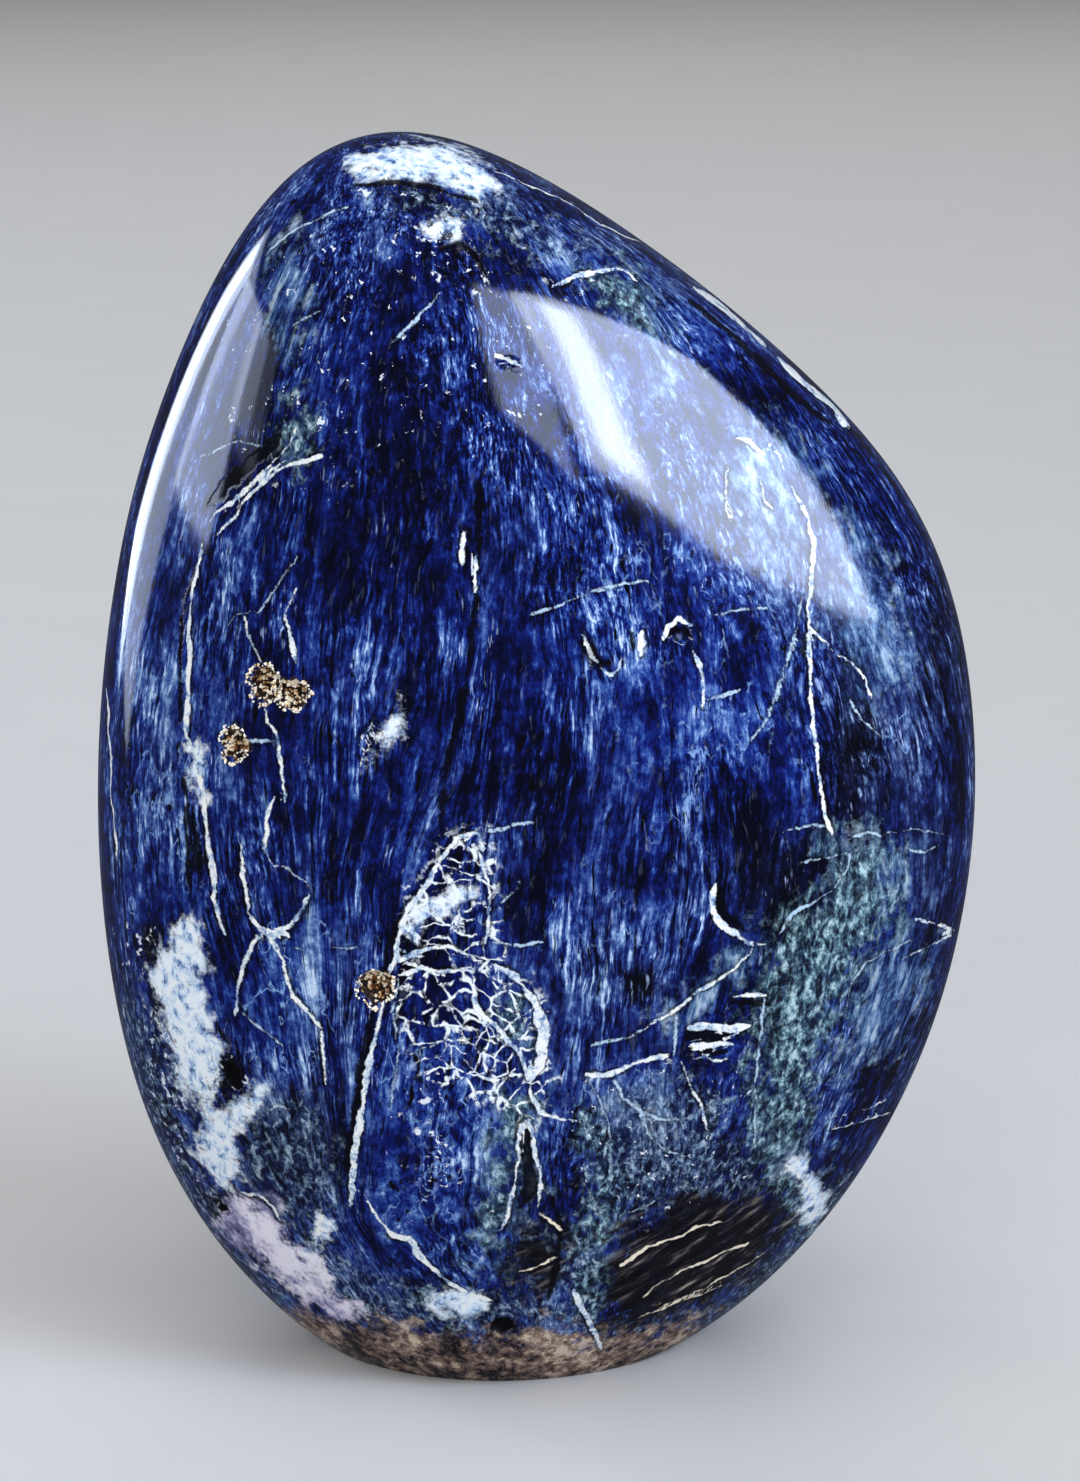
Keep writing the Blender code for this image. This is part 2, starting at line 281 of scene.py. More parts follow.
# Outlines of the patches that differ from the blue stone.
patches = {
    "white": {
        # the crown patches are pale mineral, painted whiter still as a highlight on the crest
        "crown": (
            (342, 169), (357, 154), (383, 147), (419, 146), (444, 146), (464, 154), (485, 166), (493, 182),
            (477, 197), (459, 192), (439, 182), (424, 177), (383, 177), (362, 184), (347, 174),
        ),
        "below the crown": ((420, 225), (438, 220), (463, 227), (458, 240), (430, 236)),
        "lower left": (
            (186, 919), (199, 932), (202, 980), (212, 1021), (221, 1044), (212, 1091), (212, 1110), (199, 1104),
            (177, 1082), (169, 1053), (173, 1037), (164, 1018), (157, 996), (148, 980), (150, 966), (168, 946),
        ),
        "lower left, foot": (
            (262, 1084), (256, 1107), (240, 1136), (237, 1181), (228, 1187), (205, 1174), (189, 1155),
            (199, 1132), (221, 1110), (240, 1095),
        ),
        "head of the net": (
            (402, 934), (410, 912), (430, 899), (452, 890), (474, 884), (476, 896), (454, 908), (432, 920), (412, 936),
        ),
        "foot of the teal zone": (
            (784, 1160), (806, 1158), (822, 1182), (826, 1206), (816, 1230), (806, 1214), (804, 1188), (788, 1174),
        ),
        "pale dash": (
            (402, 690), (413, 696), (408, 716), (396, 732), (384, 748), (372, 764), (364, 766), (374, 744), (388, 718),
        ),
        "drop": ((322, 1216), (331, 1224), (318, 1250), (309, 1250)),
        "over the foot": ((430, 1304), (444, 1296), (462, 1290), (476, 1298), (482, 1310), (462, 1318), (440, 1316)),
        "left wedge": ((188, 745), (204, 752), (208, 800), (200, 806), (192, 770)),
    },
    "lavender": {
        "low left": (
            (240, 1193), (272, 1206), (279, 1232), (298, 1248), (320, 1257), (333, 1305), (323, 1311),
            (291, 1283), (259, 1260), (228, 1238), (212, 1225), (228, 1216), (234, 1200),
        ),
        "foot": ((300, 1275), (330, 1290), (362, 1312), (350, 1322), (318, 1305)),
    },
    "teal": {
        "speckled zone": (
            (838, 850), (862, 842), (886, 852), (892, 900), (874, 944), (850, 992), (830, 1036), (810, 1064),
            (804, 1124), (798, 1160), (760, 1164), (753, 1118), (756, 1046), (764, 980), (780, 930), (818, 900),
        ),
        "lower right rim": ((770, 1160), (806, 1158), (824, 1196), (812, 1232), (790, 1222), (776, 1190)),
        "column": ((587, 1116), (606, 1122), (618, 1190), (612, 1262), (600, 1350), (574, 1300), (592, 1230)),
        "by the fork": ((290, 396), (306, 408), (306, 442), (298, 466), (286, 456)),
        "upper right": ((588, 272), (618, 268), (640, 290), (652, 330), (632, 330), (606, 308)),
        "oval, green": ((498, 1000), (514, 1004), (524, 1030), (510, 1036), (500, 1022)),
        "oval, foot": ((505, 1098), (524, 1104), (514, 1190), (498, 1236), (478, 1262), (488, 1216), (502, 1160)),
        "yellow green foot": ((424, 1304), (448, 1300), (474, 1308), (470, 1324), (440, 1324)),
    },
    "brown": {
        "band": (
            (604, 1270), (616, 1238), (652, 1210), (700, 1192), (760, 1192), (790, 1212), (786, 1240), (742, 1284),
            (700, 1310), (640, 1332), (606, 1326),
        ),
        "left of the band": ((508, 1228), (560, 1226), (566, 1262), (540, 1290), (510, 1276)),
    },
    "foot": {
        # painted reflection of a brown wooden surface in the bottom rim, with painted contact shadow
        "painted wood reflection at the foot": (
            (296, 1306), (346, 1322), (400, 1330), (470, 1334), (530, 1326), (596, 1334), (650, 1330), (700, 1318),
            (760, 1330), (640, 1460), (300, 1460), (240, 1330),
        ),
    },
    "specks": {
        "by the crown": (
            (398, 232), (420, 214), (462, 222), (484, 246), (494, 290), (470, 296), (448, 268), (420, 286), (402, 262),
        ),
        "under the crown patch": ((344, 186), (380, 180), (440, 190), (480, 200), (470, 214), (420, 200), (350, 202)),
        "upper right": ((548, 284), (568, 278), (596, 288), (590, 306), (560, 304)),
        "left rim": ((126, 926), (150, 930), (148, 972), (128, 972)),
        "lower left rim": ((150, 1010), (170, 1040), (190, 1120), (206, 1190), (176, 1170), (150, 1090)),
        "left spots": ((212, 1062), (256, 1058), (252, 1096), (214, 1092)),
        "above the net's head": ((442, 840), (476, 828), (486, 870), (470, 888), (440, 886)),
        "oval spots, upper": ((404, 1062), (442, 1066), (446, 1112), (408, 1114)),
        "oval spots, lower": ((416, 1124), (450, 1128), (450, 1190), (416, 1184)),
    },
    "denim": {
        "top of the teal zone": (
            (826, 846), (846, 838), (872, 850), (904, 846), (912, 880), (896, 912), (868, 900), (846, 916), (830, 890),
        ),
        "foot of the teal zone": (
            (752, 1136), (786, 1128), (812, 1150), (826, 1184), (820, 1228), (806, 1236), (800, 1200), (776, 1168),
        ),
        "right of the teal zone": ((862, 950), (900, 936), (930, 944), (916, 1000), (880, 1050), (850, 1062), (846, 1010)),
        "pale streaks, upper right": (
            (612, 274), (634, 272), (652, 300), (672, 340), (686, 400), (668, 404), (650, 356), (632, 322),
        ),
        "low diagonal": (
            (662, 1012), (700, 984), (734, 957), (758, 944), (762, 962), (738, 986), (700, 1008), (672, 1026),
        ),
        "right shoulder": ((836, 520), (862, 540), (890, 600), (900, 680), (872, 700), (846, 640), (826, 600)),
        "squiggles": ((730, 432), (764, 424), (800, 452), (812, 520), (790, 552), (752, 540), (728, 500)),
        "rim under the band": (
            (690, 1326), (740, 1292), (780, 1260), (812, 1228), (842, 1204), (870, 1220), (810, 1310), (740, 1370),
            (680, 1380),
        ),
        "side of the oval": ((512, 1096), (536, 1100), (532, 1190), (512, 1226), (486, 1262), (478, 1236), (506, 1180)),
        "left shoulder": ((262, 256), (292, 240), (304, 300), (290, 350), (272, 330)),
    },
    "mossy": {
        "low branches": ((590, 1110), (690, 1070), (740, 1150), (760, 1190), (640, 1216), (600, 1200)),
        "right of the white foot": (
            (256, 1100), (300, 1090), (330, 1130), (338, 1190), (316, 1212), (296, 1236), (272, 1202), (246, 1180),
        ),
        "above the foot": (
            (300, 1240), (350, 1270), (420, 1300), (540, 1296), (600, 1300), (600, 1330), (460, 1334), (340, 1320),
        ),
        "foot of the net": ((508, 1216), (560, 1222), (600, 1260), (566, 1296), (520, 1290)),
        "lower left rim": (
            (126, 990), (160, 1030), (184, 1110), (202, 1186), (240, 1246), (300, 1306), (270, 1340), (140, 1190),
            (110, 1060),
        ),
        "low rim": (
            (612, 1318), (700, 1302), (760, 1262), (798, 1224), (826, 1186), (890, 1170), (870, 1270), (760, 1370),
            (640, 1400),
        ),
        "under the crown patch": ((380, 192), (440, 198), (500, 206), (560, 232), (600, 254), (520, 248), (430, 214)),
    },
    "frost": {
        "shoulder": (
            (226, 250), (330, 200), (410, 206), (520, 250), (560, 300), (540, 430), (430, 420), (330, 490), (240, 460),
            (210, 350),
        ),
        "oval": ((390, 1060), (480, 1060), (500, 1200), (400, 1230), (370, 1180)),
        "lower right": ((560, 1080), (740, 1060), (760, 1180), (640, 1230), (580, 1200)),
    },
    "net": {
        "head": ((402, 930), (414, 896), (432, 866), (448, 838), (474, 828), (488, 840), (488, 890), (470, 912), (430, 930)),
        "net": (
            (396, 950), (404, 900), (446, 836), (490, 830), (500, 940), (548, 1010), (550, 1080), (534, 1130),
            (512, 1120), (470, 1096), (420, 1072), (396, 1010),
        ),
    },
}

# Soft clouds: (x, y, half width, half height, lighter, greyer).
clouds = {
    "left rim": (140, 720, 50, 200, 0.14, 0.10),
    "top left shoulder": (290, 270, 45, 80, 0.10, 0.2),
    "by the fork": (290, 445, 26, 50, 0.25, 0.3),
    "below the fork": (238, 578, 50, 45, 0.10, -0.1),
    "upper centre": (480, 345, 26, 70, 0.16, 0.0),
    "crown rim, upper": (520, 190, 50, 20, 0.14, 0.5),
    "crown rim, middle": (605, 236, 50, 22, 0.14, 0.5),
    "crown rim, lower": (676, 288, 36, 24, 0.10, 0.5),
    "below the crown": (560, 255, 60, 26, 0.16, 0.0),
    "squiggles": (768, 500, 44, 80, 0.30, 0.3),
    # painted reflection: lightens the stone where the window panel is mirrored
    "painted window reflection": (670, 410, 110, 90, 0.20, 0.0),
    "right shoulder": (862, 610, 52, 80, 0.26, 0.4),
    "right rim": (915, 700, 45, 120, 0.10, 0.5),
    "band beside the teal zone": (880, 985, 34, 24, 0.12, 0.2),
    "branches": (752, 722, 60, 50, 0.22, 0.1),
    "bright middle": (610, 640, 90, 120, 0.16, -0.1),
    "lower middle": (625, 880, 150, 120, 0.12, 0.15),
    "left milk": (290, 1020, 90, 130, 0.24, 0.15),
    "left column": (170, 780, 40, 130, 0.17, 0.0),
    "oval": (445, 1180, 80, 90, 0.16, 0.0),
    "oval head": (440, 1010, 50, 60, 0.05, -0.1),
    "low centre": (620, 1140, 110, 90, 0.14, 0.3),
    "low rim": (780, 1270, 60, 50, 0.05, 0.7),
    "lower right": (872, 1020, 40, 56, 0.14, 0.2),
    "right of the teal zone": (915, 1060, 60, 110, -0.04, 0.5),
    "right rim by the teal zone": (940, 880, 46, 80, 0.02, 0.45),
    "dark by the fork": (268, 440, 24, 46, -0.34, 0.0),
    "dark upper centre": (420, 480, 90, 150, -0.13, -0.2),
    "dark centre": (520, 740, 50, 130, -0.14, 0.1),
    "dark right of centre": (775, 880, 60, 60, -0.20, 0.7),
    "dark by the right vein": (852, 760, 30, 90, -0.24, 0.8),
    "dark low right": (700, 1175, 100, 34, -0.20, 0.2),
    "dark by the crown": (470, 265, 46, 36, -0.24, 0.0),
    "dark right rim": (790, 390, 110, 40, -0.16, 0.0),
    "dark right edge": (950, 640, 34, 160, -0.14, 0.3),
    "dark round spot": (640, 984, 16, 16, -0.60, 0.9),
    "dark left foot": (296, 1150, 50, 64, -0.13, 0.6),
    "dark spot, left": (232, 1074, 12, 16, -0.70, 0.9),
    "dark spot, lower left": (221, 1208, 9, 12, -0.70, 0.9),
    "dark spot, hatch": (148, 946, 10, 24, -0.30, 0.9),
}

markings = {
    "seed": 7,
    "step": 1.5,            # pixels between the points of a stroke
    "wobble": 2.0,          # pixels
    "wobbleLength": 16.0,
    "thinner": 0.72,        # the white veins' drawn widths include their glow
    "twigs": 0.010,         # chance of a side crack at each point of a vein on the back
    "backWander": 46.0,     # pixels that the back's markings stray from the front's
    "twinGap": 0.18,        # mm, which keeps two close strokes apart
    "farAway": 50.0,        # mm
}

noise.seed_set(markings["seed"])    # the vector noise starts from the clock otherwise
mm = 0.001


def unitWays(faces):
    ways = []
    for around, _ in faces:
        angle = math.radians(around)
        ways.append((math.cos(angle), 0.0, math.sin(angle)))
    return np.array(ways)


def flatWays(flats):
    ways = []
    for around, up, _ in flats:
        around = math.radians(around)
        up = math.radians(up)
        ways.append((math.cos(up) * math.sin(around), -math.cos(up) * math.cos(around), math.sin(up)))
    return np.array(ways)


outlineWays = unitWays(stone["outlineFaces"])
outlineReach = np.array([reach for _, reach in stone["outlineFaces"]])
broadWays = flatWays(stone["broadFlats"])
broadReach = np.array([reach for _, _, reach in stone["broadFlats"]])


def eased(parts, easing):
    return (parts**easing).sum(1) ** (1.0 / easing)


def fullness(points):
    # 1 on the skin, less inside and more outside, with points measured from the core
    outline = eased(np.clip(points @ outlineWays.T, 0.0, None) / outlineReach, stone["outlineEasing"])
    thickness = np.abs(points[:, 1]) / stone["depth"]
    body = eased(np.stack([outline, thickness], axis=1), stone["rimEasing"])
    flats = np.clip(points @ broadWays.T, 0.0, None) / broadReach
    return eased(np.column_stack([body, flats]), stone["flatEasing"])


def onSkin(ways):
    return ways / fullness(ways)[:, None]


def skinNormals(points):
    step = 1e-5
    here = fullness(points)
    slopes = [fullness(points + step * np.eye(3)[axis]) - here for axis in range(3)]
    normals = np.stack(slopes, axis=1)
    return normals / np.linalg.norm(normals, axis=1)[:, None]


def skinAt(x, z):
    near = -stone["depth"] * 1.2
    far = 0.0
    for _ in range(40):
        middle = (near + far) / 2.0
        if fullness(np.array([[x, middle, z]]))[0] > 1.0:
            near = middle
        else:
            far = middle
    return np.array([x, far, z])


# Camera geometry, which also carries the strokes onto the stone.
elevation = math.radians(view["elevation"])
lookWay = Vector((0.0, math.cos(elevation), -math.sin(elevation)))
lookUp = Vector((0.0, math.sin(elevation), math.cos(elevation)))
lookRight = Vector((1.0, 0.0, 0.0))
eye = Vector(view["aim"]) - lookWay * view["distance"]
focalPixels = view["lens"] / view["sensor"] * view["frameHeight"]


def rayThrough(x, y):
    side = (x - view["frameWidth"] / 2.0) / focalPixels
    rise = (view["frameHeight"] / 2.0 - y) / focalPixels
    return (lookWay + lookRight * side + lookUp * rise).normalized()


def pixelsOf(points):
    away = points - np.array(eye)
    depth = away @ np.array(lookWay)
    x = view["frameWidth"] / 2.0 + focalPixels * (away @ np.array(lookRight)) / depth
    y = view["frameHeight"] / 2.0 - focalPixels * (away @ np.array(lookUp)) / depth
    return np.stack([x, y], axis=1)


def coordinatesOf(shape):
    return np.array([vertex.co[:] for vertex in shape.verts])


def placeAll(shape, points):
    for vertex, point in zip(shape.verts, points.tolist()):
        vertex.co = point


def spreadOnSkin(shape):
    # the cage is a ball: stretched to the stone's rough half sizes, its spacing stays even on the stone
    ball = coordinatesOf(shape)
    ball /= np.linalg.norm(ball, axis=1)[:, None]
    ways = ball * np.array(stone["reach"])
    return ball, onSkin(ways / np.linalg.norm(ways, axis=1)[:, None])


def refine(shape, wanted):
    shape.verts.ensure_lookup_table()
    edges = [edge for edge in shape.edges if wanted[edge.verts[0].index] and wanted[edge.verts[1].index]]
    bmesh.ops.subdivide_edges(shape, edges=edges, cuts=1, use_grid_fill=True)
    shape.verts.index_update()


def pitFrames(middle):
    frames = {}
    for name, (x, height, halfWidth, halfLength, depth) in pits.items():
        place = skinAt(x + middle[0], height - stone["coreHeight"])
        outward = Vector(skinNormals(place[None])[0])
        right = outward.cross(Vector((0.0, 0.0, -1.0))).normalized()
        upward = outward.cross(right).normalized()
        frames[name] = (place, outward, right, upward, halfWidth, halfLength, depth)
    return frames


def pitBowl(points, pit, name):
    # 0 outside the pit, rising to 1 at its deepest, with a ragged edge
    place, outward, right, upward, halfWidth, halfLength, depth = pit
    away = points - place
    across = away @ np.array(right) / halfWidth
    along = away @ np.array(upward) / halfLength
    lift = np.abs(away @ np.array(outward))
    near = np.nonzero((across**2 + along**2 < 4.0) & (lift < 0.003))[0]
    bowl = np.zeros(len(points))
    for index in near:
        ragged = noise.noise(Vector(points[index]) * 1500.0 + Vector((len(name), 0.0, 0.0)))
        spread = (across[index] ** 2 + along[index] ** 2) * (1.0 + 0.7 * ragged)
        bowl[index] = math.sqrt(max(0.0, 1.0 - spread))
    return bowl


def shapeStone():
    shape = bmesh.new()
    bmesh.ops.create_cube(shape, size=2.0)
    bmesh.ops.subdivide_edges(shape, edges=shape.edges[:], cuts=stone["cageCuts"], use_grid_fill=True)
    ball = np.tan(coordinatesOf(shape) * math.pi / 4.0)
    placeAll(shape, ball)

    # finer where the showing face needs it, and finer again around the pits
    ball, points = spreadOnSkin(shape)
    placeAll(shape, ball)
    facing = (ball / np.array(stone["reach"])) @ -np.array(lookWay)
    refine(shape, facing > -1.0)
    ball, points = spreadOnSkin(shape)
    placeAll(shape, ball)
    middle = (points.min(0) + points.max(0)) / 2.0
    frames = pitFrames(middle)
    for halo in (2.4, 1.7):
        ball, points = spreadOnSkin(shape)
        placeAll(shape, ball)
        close = np.zeros(len(points), bool)
        for place, _, _, _, halfWidth, halfLength, _ in frames.values():
            close |= np.linalg.norm(points - place, axis=1) < halo * max(halfWidth, halfLength)
        refine(shape, close)
    ball, points = spreadOnSkin(shape)
    print("stone:", len(points), "points on the skin")

    # the polish is slightly uneven, and the pits sink in
    normals = skinNormals(points)
    wave = np.array([noise.noise(Vector(point) / stone["polishWaveLength"]) for point in points.tolist()])
    points = points + normals * (wave * stone["polishWave"])[:, None]
    for name, pit in frames.items():
        bowl = pitBowl(points, pit, name)
        points = points - bowl[:, None] * pit[6] * np.array(pit[1])
    points[:, 2] += stone["coreHeight"]
    placeAll(shape, points)

    # the flat spot underneath
    whole = shape.verts[:] + shape.edges[:] + shape.faces[:]
    sliced = bmesh.ops.bisect_plane(
        shape, geom=whole, dist=1e-9, plane_co=(0.0, 0.0, 0.0), plane_no=(0.0, 0.0, -1.0), clear_outer=True
    )
    rim = [part for part in sliced["geom_cut"] if isinstance(part, bmesh.types.BMEdge)]
    bmesh.ops.contextual_create(shape, geom=rim)
    bmesh.ops.translate(shape, verts=shape.verts[:], vec=(-middle[0], -middle[1], 0.0))
    bmesh.ops.triangulate(shape, faces=[face for face in shape.faces if len(face.verts) > 4])
    bmesh.ops.recalc_face_normals(shape, faces=shape.faces[:])
    shift = np.array([-middle[0], -middle[1], stone["coreHeight"]])
    return shape, frames, shift


def strokePoints(points, seed, wander=0.0):
    # evenly spaced pixels along the stroke, with the small wobble of a real crack
    path = [Vector(point) for point in points]
    placed = []
    for start, end in zip(path, path[1:]):
        steps = max(1, int((end - start).length / markings["step"]))
        for index in range(steps):
            placed.append(start.lerp(end, index / steps))
    placed.append(path[-1])
    wobbled = []
    for spot in placed:
        near = Vector((spot.x, spot.y, seed * 37.0))
        slow = noise.noise_vector(near / markings["wobbleLength"]) * markings["wobble"]
        quick = noise.noise_vector(near / 4.5) * 0.9
        moved = Vector((spot.x + slow.x + quick.x, spot.y + slow.y + quick.y))
        if wander:
            stray = noise.noise_vector(Vector((spot.x, spot.y, seed)) / 230.0) * wander
            moved += Vector((stray.x, stray.y))
        wobbled.append(moved)
    return wobbled


def twigsOf(points, chance, rng):
    # short side cracks that leave a vein
    grown = []
    for index in range(4, len(points) - 4):
        if rng.random() > chance:
            continue
        heading = (points[index + 3] - points[index - 3]).normalized()
        turn = rng.choice((-1, 1)) * rng.uniform(0.5, 1.2)
        angle = math.atan2(heading.y, heading.x) + turn
        spot = points[index].copy()
        twig = [spot.copy()]
        for _ in range(rng.randint(4, 10)):
            angle += rng.uniform(-0.45, 0.45)
            spot += Vector((math.cos(angle), math.sin(angle))) * 3.0
            twig.append(spot.copy())
        grown.append([tuple(point) for point in twig])
    return grown


def castStroke(tree, pixels, width, tint, behind):
    # (place, way along, width, tint) wherever the stroke meets the stone
    found = []
    for pixel in pixels:
        ray = rayThrough(pixel.x, pixel.y)
        if behind:
            hit = tree.ray_cast(eye + ray * 1.0, -ray)[0]
        else:
            hit = tree.ray_cast(eye, ray)[0]
        if hit is not None:
            found.append(hit)
    marks = []
    count = len(found)
    for index, place in enumerate(found):
        along = found[min(count - 1, index + 2)] - found[max(0, index - 2)]
        if along.length == 0.0:
            continue
        ends = min(1.0, (index + 1) / 6.0, (count - index) / 6.0)
        swell = 1.0 + 0.5 * noise.noise(place * 900.0) + 0.8 * noise.noise(place * 260.0)
        marks.append((place, along.normalized(), width * (0.45 + 0.55 * ends) * swell, tint))
    return marks


def layStrokes(tree, strokes, tint, twigChance, thinner=1.0):
    rng = random.Random(markings["seed"] + int(tint * 10) + len(strokes))
    marks = []
    for seed, (width, points) in enumerate(strokes.values()):
        for behind in (False, True):
            pixels = strokePoints(points, seed, markings["backWander"] if behind else 0.0)
            marks += castStroke(tree, pixels, width * thinner, tint, behind)
            for twig in twigsOf(pixels, twigChance if behind else 0.0, rng):
                marks += castStroke(tree, strokePoints(twig, seed + 50), width * 0.45, tint, behind)
    return marks


def distanceField(marks, points):
    # for each point: the way to the nearest stroke in mm, how far that is, the stroke's width and its tint
    finder = kdtree.KDTree(len(marks))
    for index, mark in enumerate(marks):
        finder.insert(mark[0], index)
    finder.balance()
    count = len(points)
    offset = np.zeros((count, 3))
    gap = np.zeros(count)
    width = np.zeros(count)
    tint = np.zeros(count)
    for index, point in enumerate(points.tolist()):
        point = Vector(point)
        place, nearest, away = finder.find(point)
        _, along, strokeWidth, strokeTint = marks[nearest]
        leave = point - place
        slide = along.dot(leave)
        if abs(slide) < 0.0002:
            leave = leave - along * slide
        offset[index] = leave / mm
        gap[index] = leave.length / mm
        width[index] = strokeWidth
        tint[index] = strokeTint
    return offset, gap, width, tint


def signedDistance(pixels, outline):
    # negative inside the outline, in mm
    corners = np.array(outline, float)
    nearest = np.full(len(pixels), 1e9)
    inside = np.zeros(len(pixels), bool)
    for start, end in zip(corners, np.roll(corners, -1, axis=0)):
        side = end - start
        share = np.clip(((pixels - start) @ side) / (side @ side), 0.0, 1.0)
        nearest = np.minimum(nearest, np.linalg.norm(pixels - start - share[:, None] * side, axis=1))
        crosses = (start[1] > pixels[:, 1]) != (end[1] > pixels[:, 1])
        rise = end[1] - start[1] if end[1] != start[1] else 1e-9
        meets = start[0] + (pixels[:, 1] - start[1]) / rise * side[0]
        inside ^= crosses & (pixels[:, 0] < meets)
    return np.where(inside, -nearest, nearest) / view["pixelsPerMm"]


def cloudField(pixels):
    lighter = np.zeros(len(pixels))
    greyer = np.zeros(len(pixels))
    for x, y, halfWidth, halfHeight, light, grey in clouds.values():
        away = ((pixels[:, 0] - x) / halfWidth) ** 2 + ((pixels[:, 1] - y) / halfHeight) ** 2
        share = np.exp(-away)
        lighter += share * light
        greyer += share * grey
    return lighter, greyer


def fibreField(pixels, points):
    # how far across the fibres a point lies, in mm, from the guides on either side of it
    rows = [np.interp(pixels[:, 1], [y for _, y in guide], [x for x, _ in guide]) for guide in fibreGuides.values()]
    homes = [np.interp(740.0, [y for _, y in guide], [x for x, _ in guide]) for guide in fibreGuides.values()]
    rows = np.array(rows)
    across = np.zeros(len(pixels))
    for index in range(len(rows) - 1):
        left, right = rows[index], rows[index + 1]
        share = (pixels[:, 0] - left) / (right - left)
        belongs = share >= 0.0 if index else np.ones(len(pixels), bool)
        value = homes[index] + share * (homes[index + 1] - homes[index])
        across = np.where(belongs, value, across)
    depth = points[:, 1] / mm
    return np.stack([across / view["pixelsPerMm"], depth, points[:, 2] / mm], axis=1)


def setField(mesh, name, values):
    vectors = values.ndim == 2
    field = mesh.attributes.new(name, "FLOAT_VECTOR" if vectors else "FLOAT", "POINT")
    field.data.foreach_set("vector" if vectors else "value", values.astype(np.float32).ravel())


def markStone(mesh, shape, frames, shift):
    points = np.empty(len(mesh.vertices) * 3, np.float32)
    mesh.vertices.foreach_get("co", points)
    points = points.reshape(-1, 3).astype(float)
    normals = np.empty(len(mesh.vertices) * 3, np.float32)
    mesh.vertices.foreach_get("normal", normals)
    normals = normals.reshape(-1, 3).astype(float)
    tree = BVHTree.FromBMesh(shape)

    veins = layStrokes(tree, whiteVeins, 0.0, markings["twigs"], markings["thinner"])
    veins += layStrokes(tree, creamStreaks, 1.0, 0.0, markings["thinner"])
    hairs = layStrokes(tree, hairlines, 0.0, markings["twigs"] * 0.6)
    cracks = layStrokes(tree, darkCracks, 0.0, 0.0)
    for name, marks in (("vein", veins), ("hair", hairs), ("crack", cracks)):
        offset, gap, width, tint = distanceField(marks, points)
        setField(mesh, name + "Way", offset)
        setField(mesh, name + "Gap", gap)
        setField(mesh, name + "Width", width)
        if name == "vein":
            setField(mesh, "veinTint", tint)
    print("markings:", len(veins) + len(hairs) + len(cracks), "points of veins and cracks")

    # the patches run on round the rim, and stray on the back
    pixels = pixelsOf(points)
    hidden = np.clip((normals @ np.array(lookWay)) * 3.0 + 0.3, 0.0, 1.0)
    for index in np.nonzero(hidden)[0]:
        stray = noise.noise_vector(Vector((pixels[index][0], pixels[index][1], 900.0)) / 260.0)
        pixels[index] += np.array([stray.x, stray.y]) * markings["backWander"] * 2.0 * hidden[index]
    for name, outlines in patches.items():
        edges = [signedDistance(pixels, outline) for outline in outlines.values()]
        setField(mesh, name + "Edge", np.minimum.reduce(edges))
    lighter, greyer = cloudField(pixels)
    setField(mesh, "lighter", lighter)
    setField(mesh, "greyer", greyer)
    setField(mesh, "fibre", fibreField(pixels, points))

    hollow = np.zeros(len(points))
    golden = np.zeros(len(points))
    for name, pit in frames.items():
        bowl = pitBowl(points - shift, pit, name)
        away = np.linalg.norm(points - shift - pit[0], axis=1)
        size = max(pit[4], pit[5])
        # hollow is how far into a pit a point lies, weakened in the shallow pits; it sets the pits' painted shade,
        # their roughness and grain
        hollow = np.maximum(hollow, bowl * min(1.0, pit[6] / crystals["pitShadeDepth"]) ** 3)
        if "gold" in name:
            # the gold fades towards the middle of a pit, where the painted shade takes over
            wall = np.clip(away / size / crystals["shadeCore"], 0.1, 1.0)
            golden = np.maximum(golden, np.clip(1.6 - away / size, 0.0, 1.0) * wall)
    setField(mesh, "hollow", hollow)
    setField(mesh, "golden", golden)


# Node helpers: each returns the socket that the next step takes.
def newNode(tree, kind, inputs=(), **settings):
    node = tree.nodes.new(kind)
    for name, value in settings.items():
        setattr(node, name, value)
    for key, value in dict(inputs).items():
        if isinstance(value, bpy.types.NodeSocket):
            tree.links.new(value, node.inputs[key])
        else:
            node.inputs[key].default_value = value
    return node


def sums(tree, operation, first, second=0.0, clamp=False):
    return newNode(tree, "ShaderNodeMath", {0: first, 1: second}, operation=operation, use_clamp=clamp).outputs[0]


def field(tree, name, vector=False):
    node = newNode(tree, "ShaderNodeAttribute", attribute_name=name)
    return node.outputs["Vector" if vector else "Fac"]


def scaled(tree, vector, scale):
    node = newNode(tree, "ShaderNodeVectorMath", {0: vector, 1: scale}, operation="MULTIPLY")
    return node.outputs[0]


def shifted(tree, vector, other):
    return newNode(tree, "ShaderNodeVectorMath", {0: vector, 1: other}, operation="ADD").outputs[0]


def grainNoise(tree, vector, scale, detail=3.0, rough=0.6, colored=False):
    inputs = {"Vector": scaled(tree, vector, scale), "Scale": 1.0, "Detail": detail, "Roughness": rough}
    node = newNode(tree, "ShaderNodeTexNoise", inputs)
    return node.outputs["Color" if colored else "Fac"]


def stepDown(tree, value, full, none):
    # 1 where the value is below full, falling smoothly to 0 at none
    node = newNode(
        tree,
        "ShaderNodeMapRange",
        {"Value": value, "From Min": full, "From Max": none, "To Min": 1.0, "To Max": 0.0},
        interpolation_type="SMOOTHSTEP",
        clamp=True,
    )
    return node.outputs[0]


def stepUp(tree, value, none, full):
    node = newNode(
        tree,
        "ShaderNodeMapRange",
        {"Value": value, "From Min": none, "From Max": full, "To Min": 0.0, "To Max": 1.0},
        interpolation_type="SMOOTHSTEP",
        clamp=True,
    )
    return node.outputs[0]


def tones(tree, value, stops, easing="LINEAR"):
    node = newNode(tree, "ShaderNodeValToRGB", {"Fac": value})
    node.color_ramp.interpolation = easing
    ramp = node.color_ramp.elements
    while len(ramp) < len(stops):
        ramp.new(0.5)
    for element, (place, color) in zip(ramp, stops):
        element.position = place
        element.color = (*color, 1.0)
    return node.outputs["Color"]


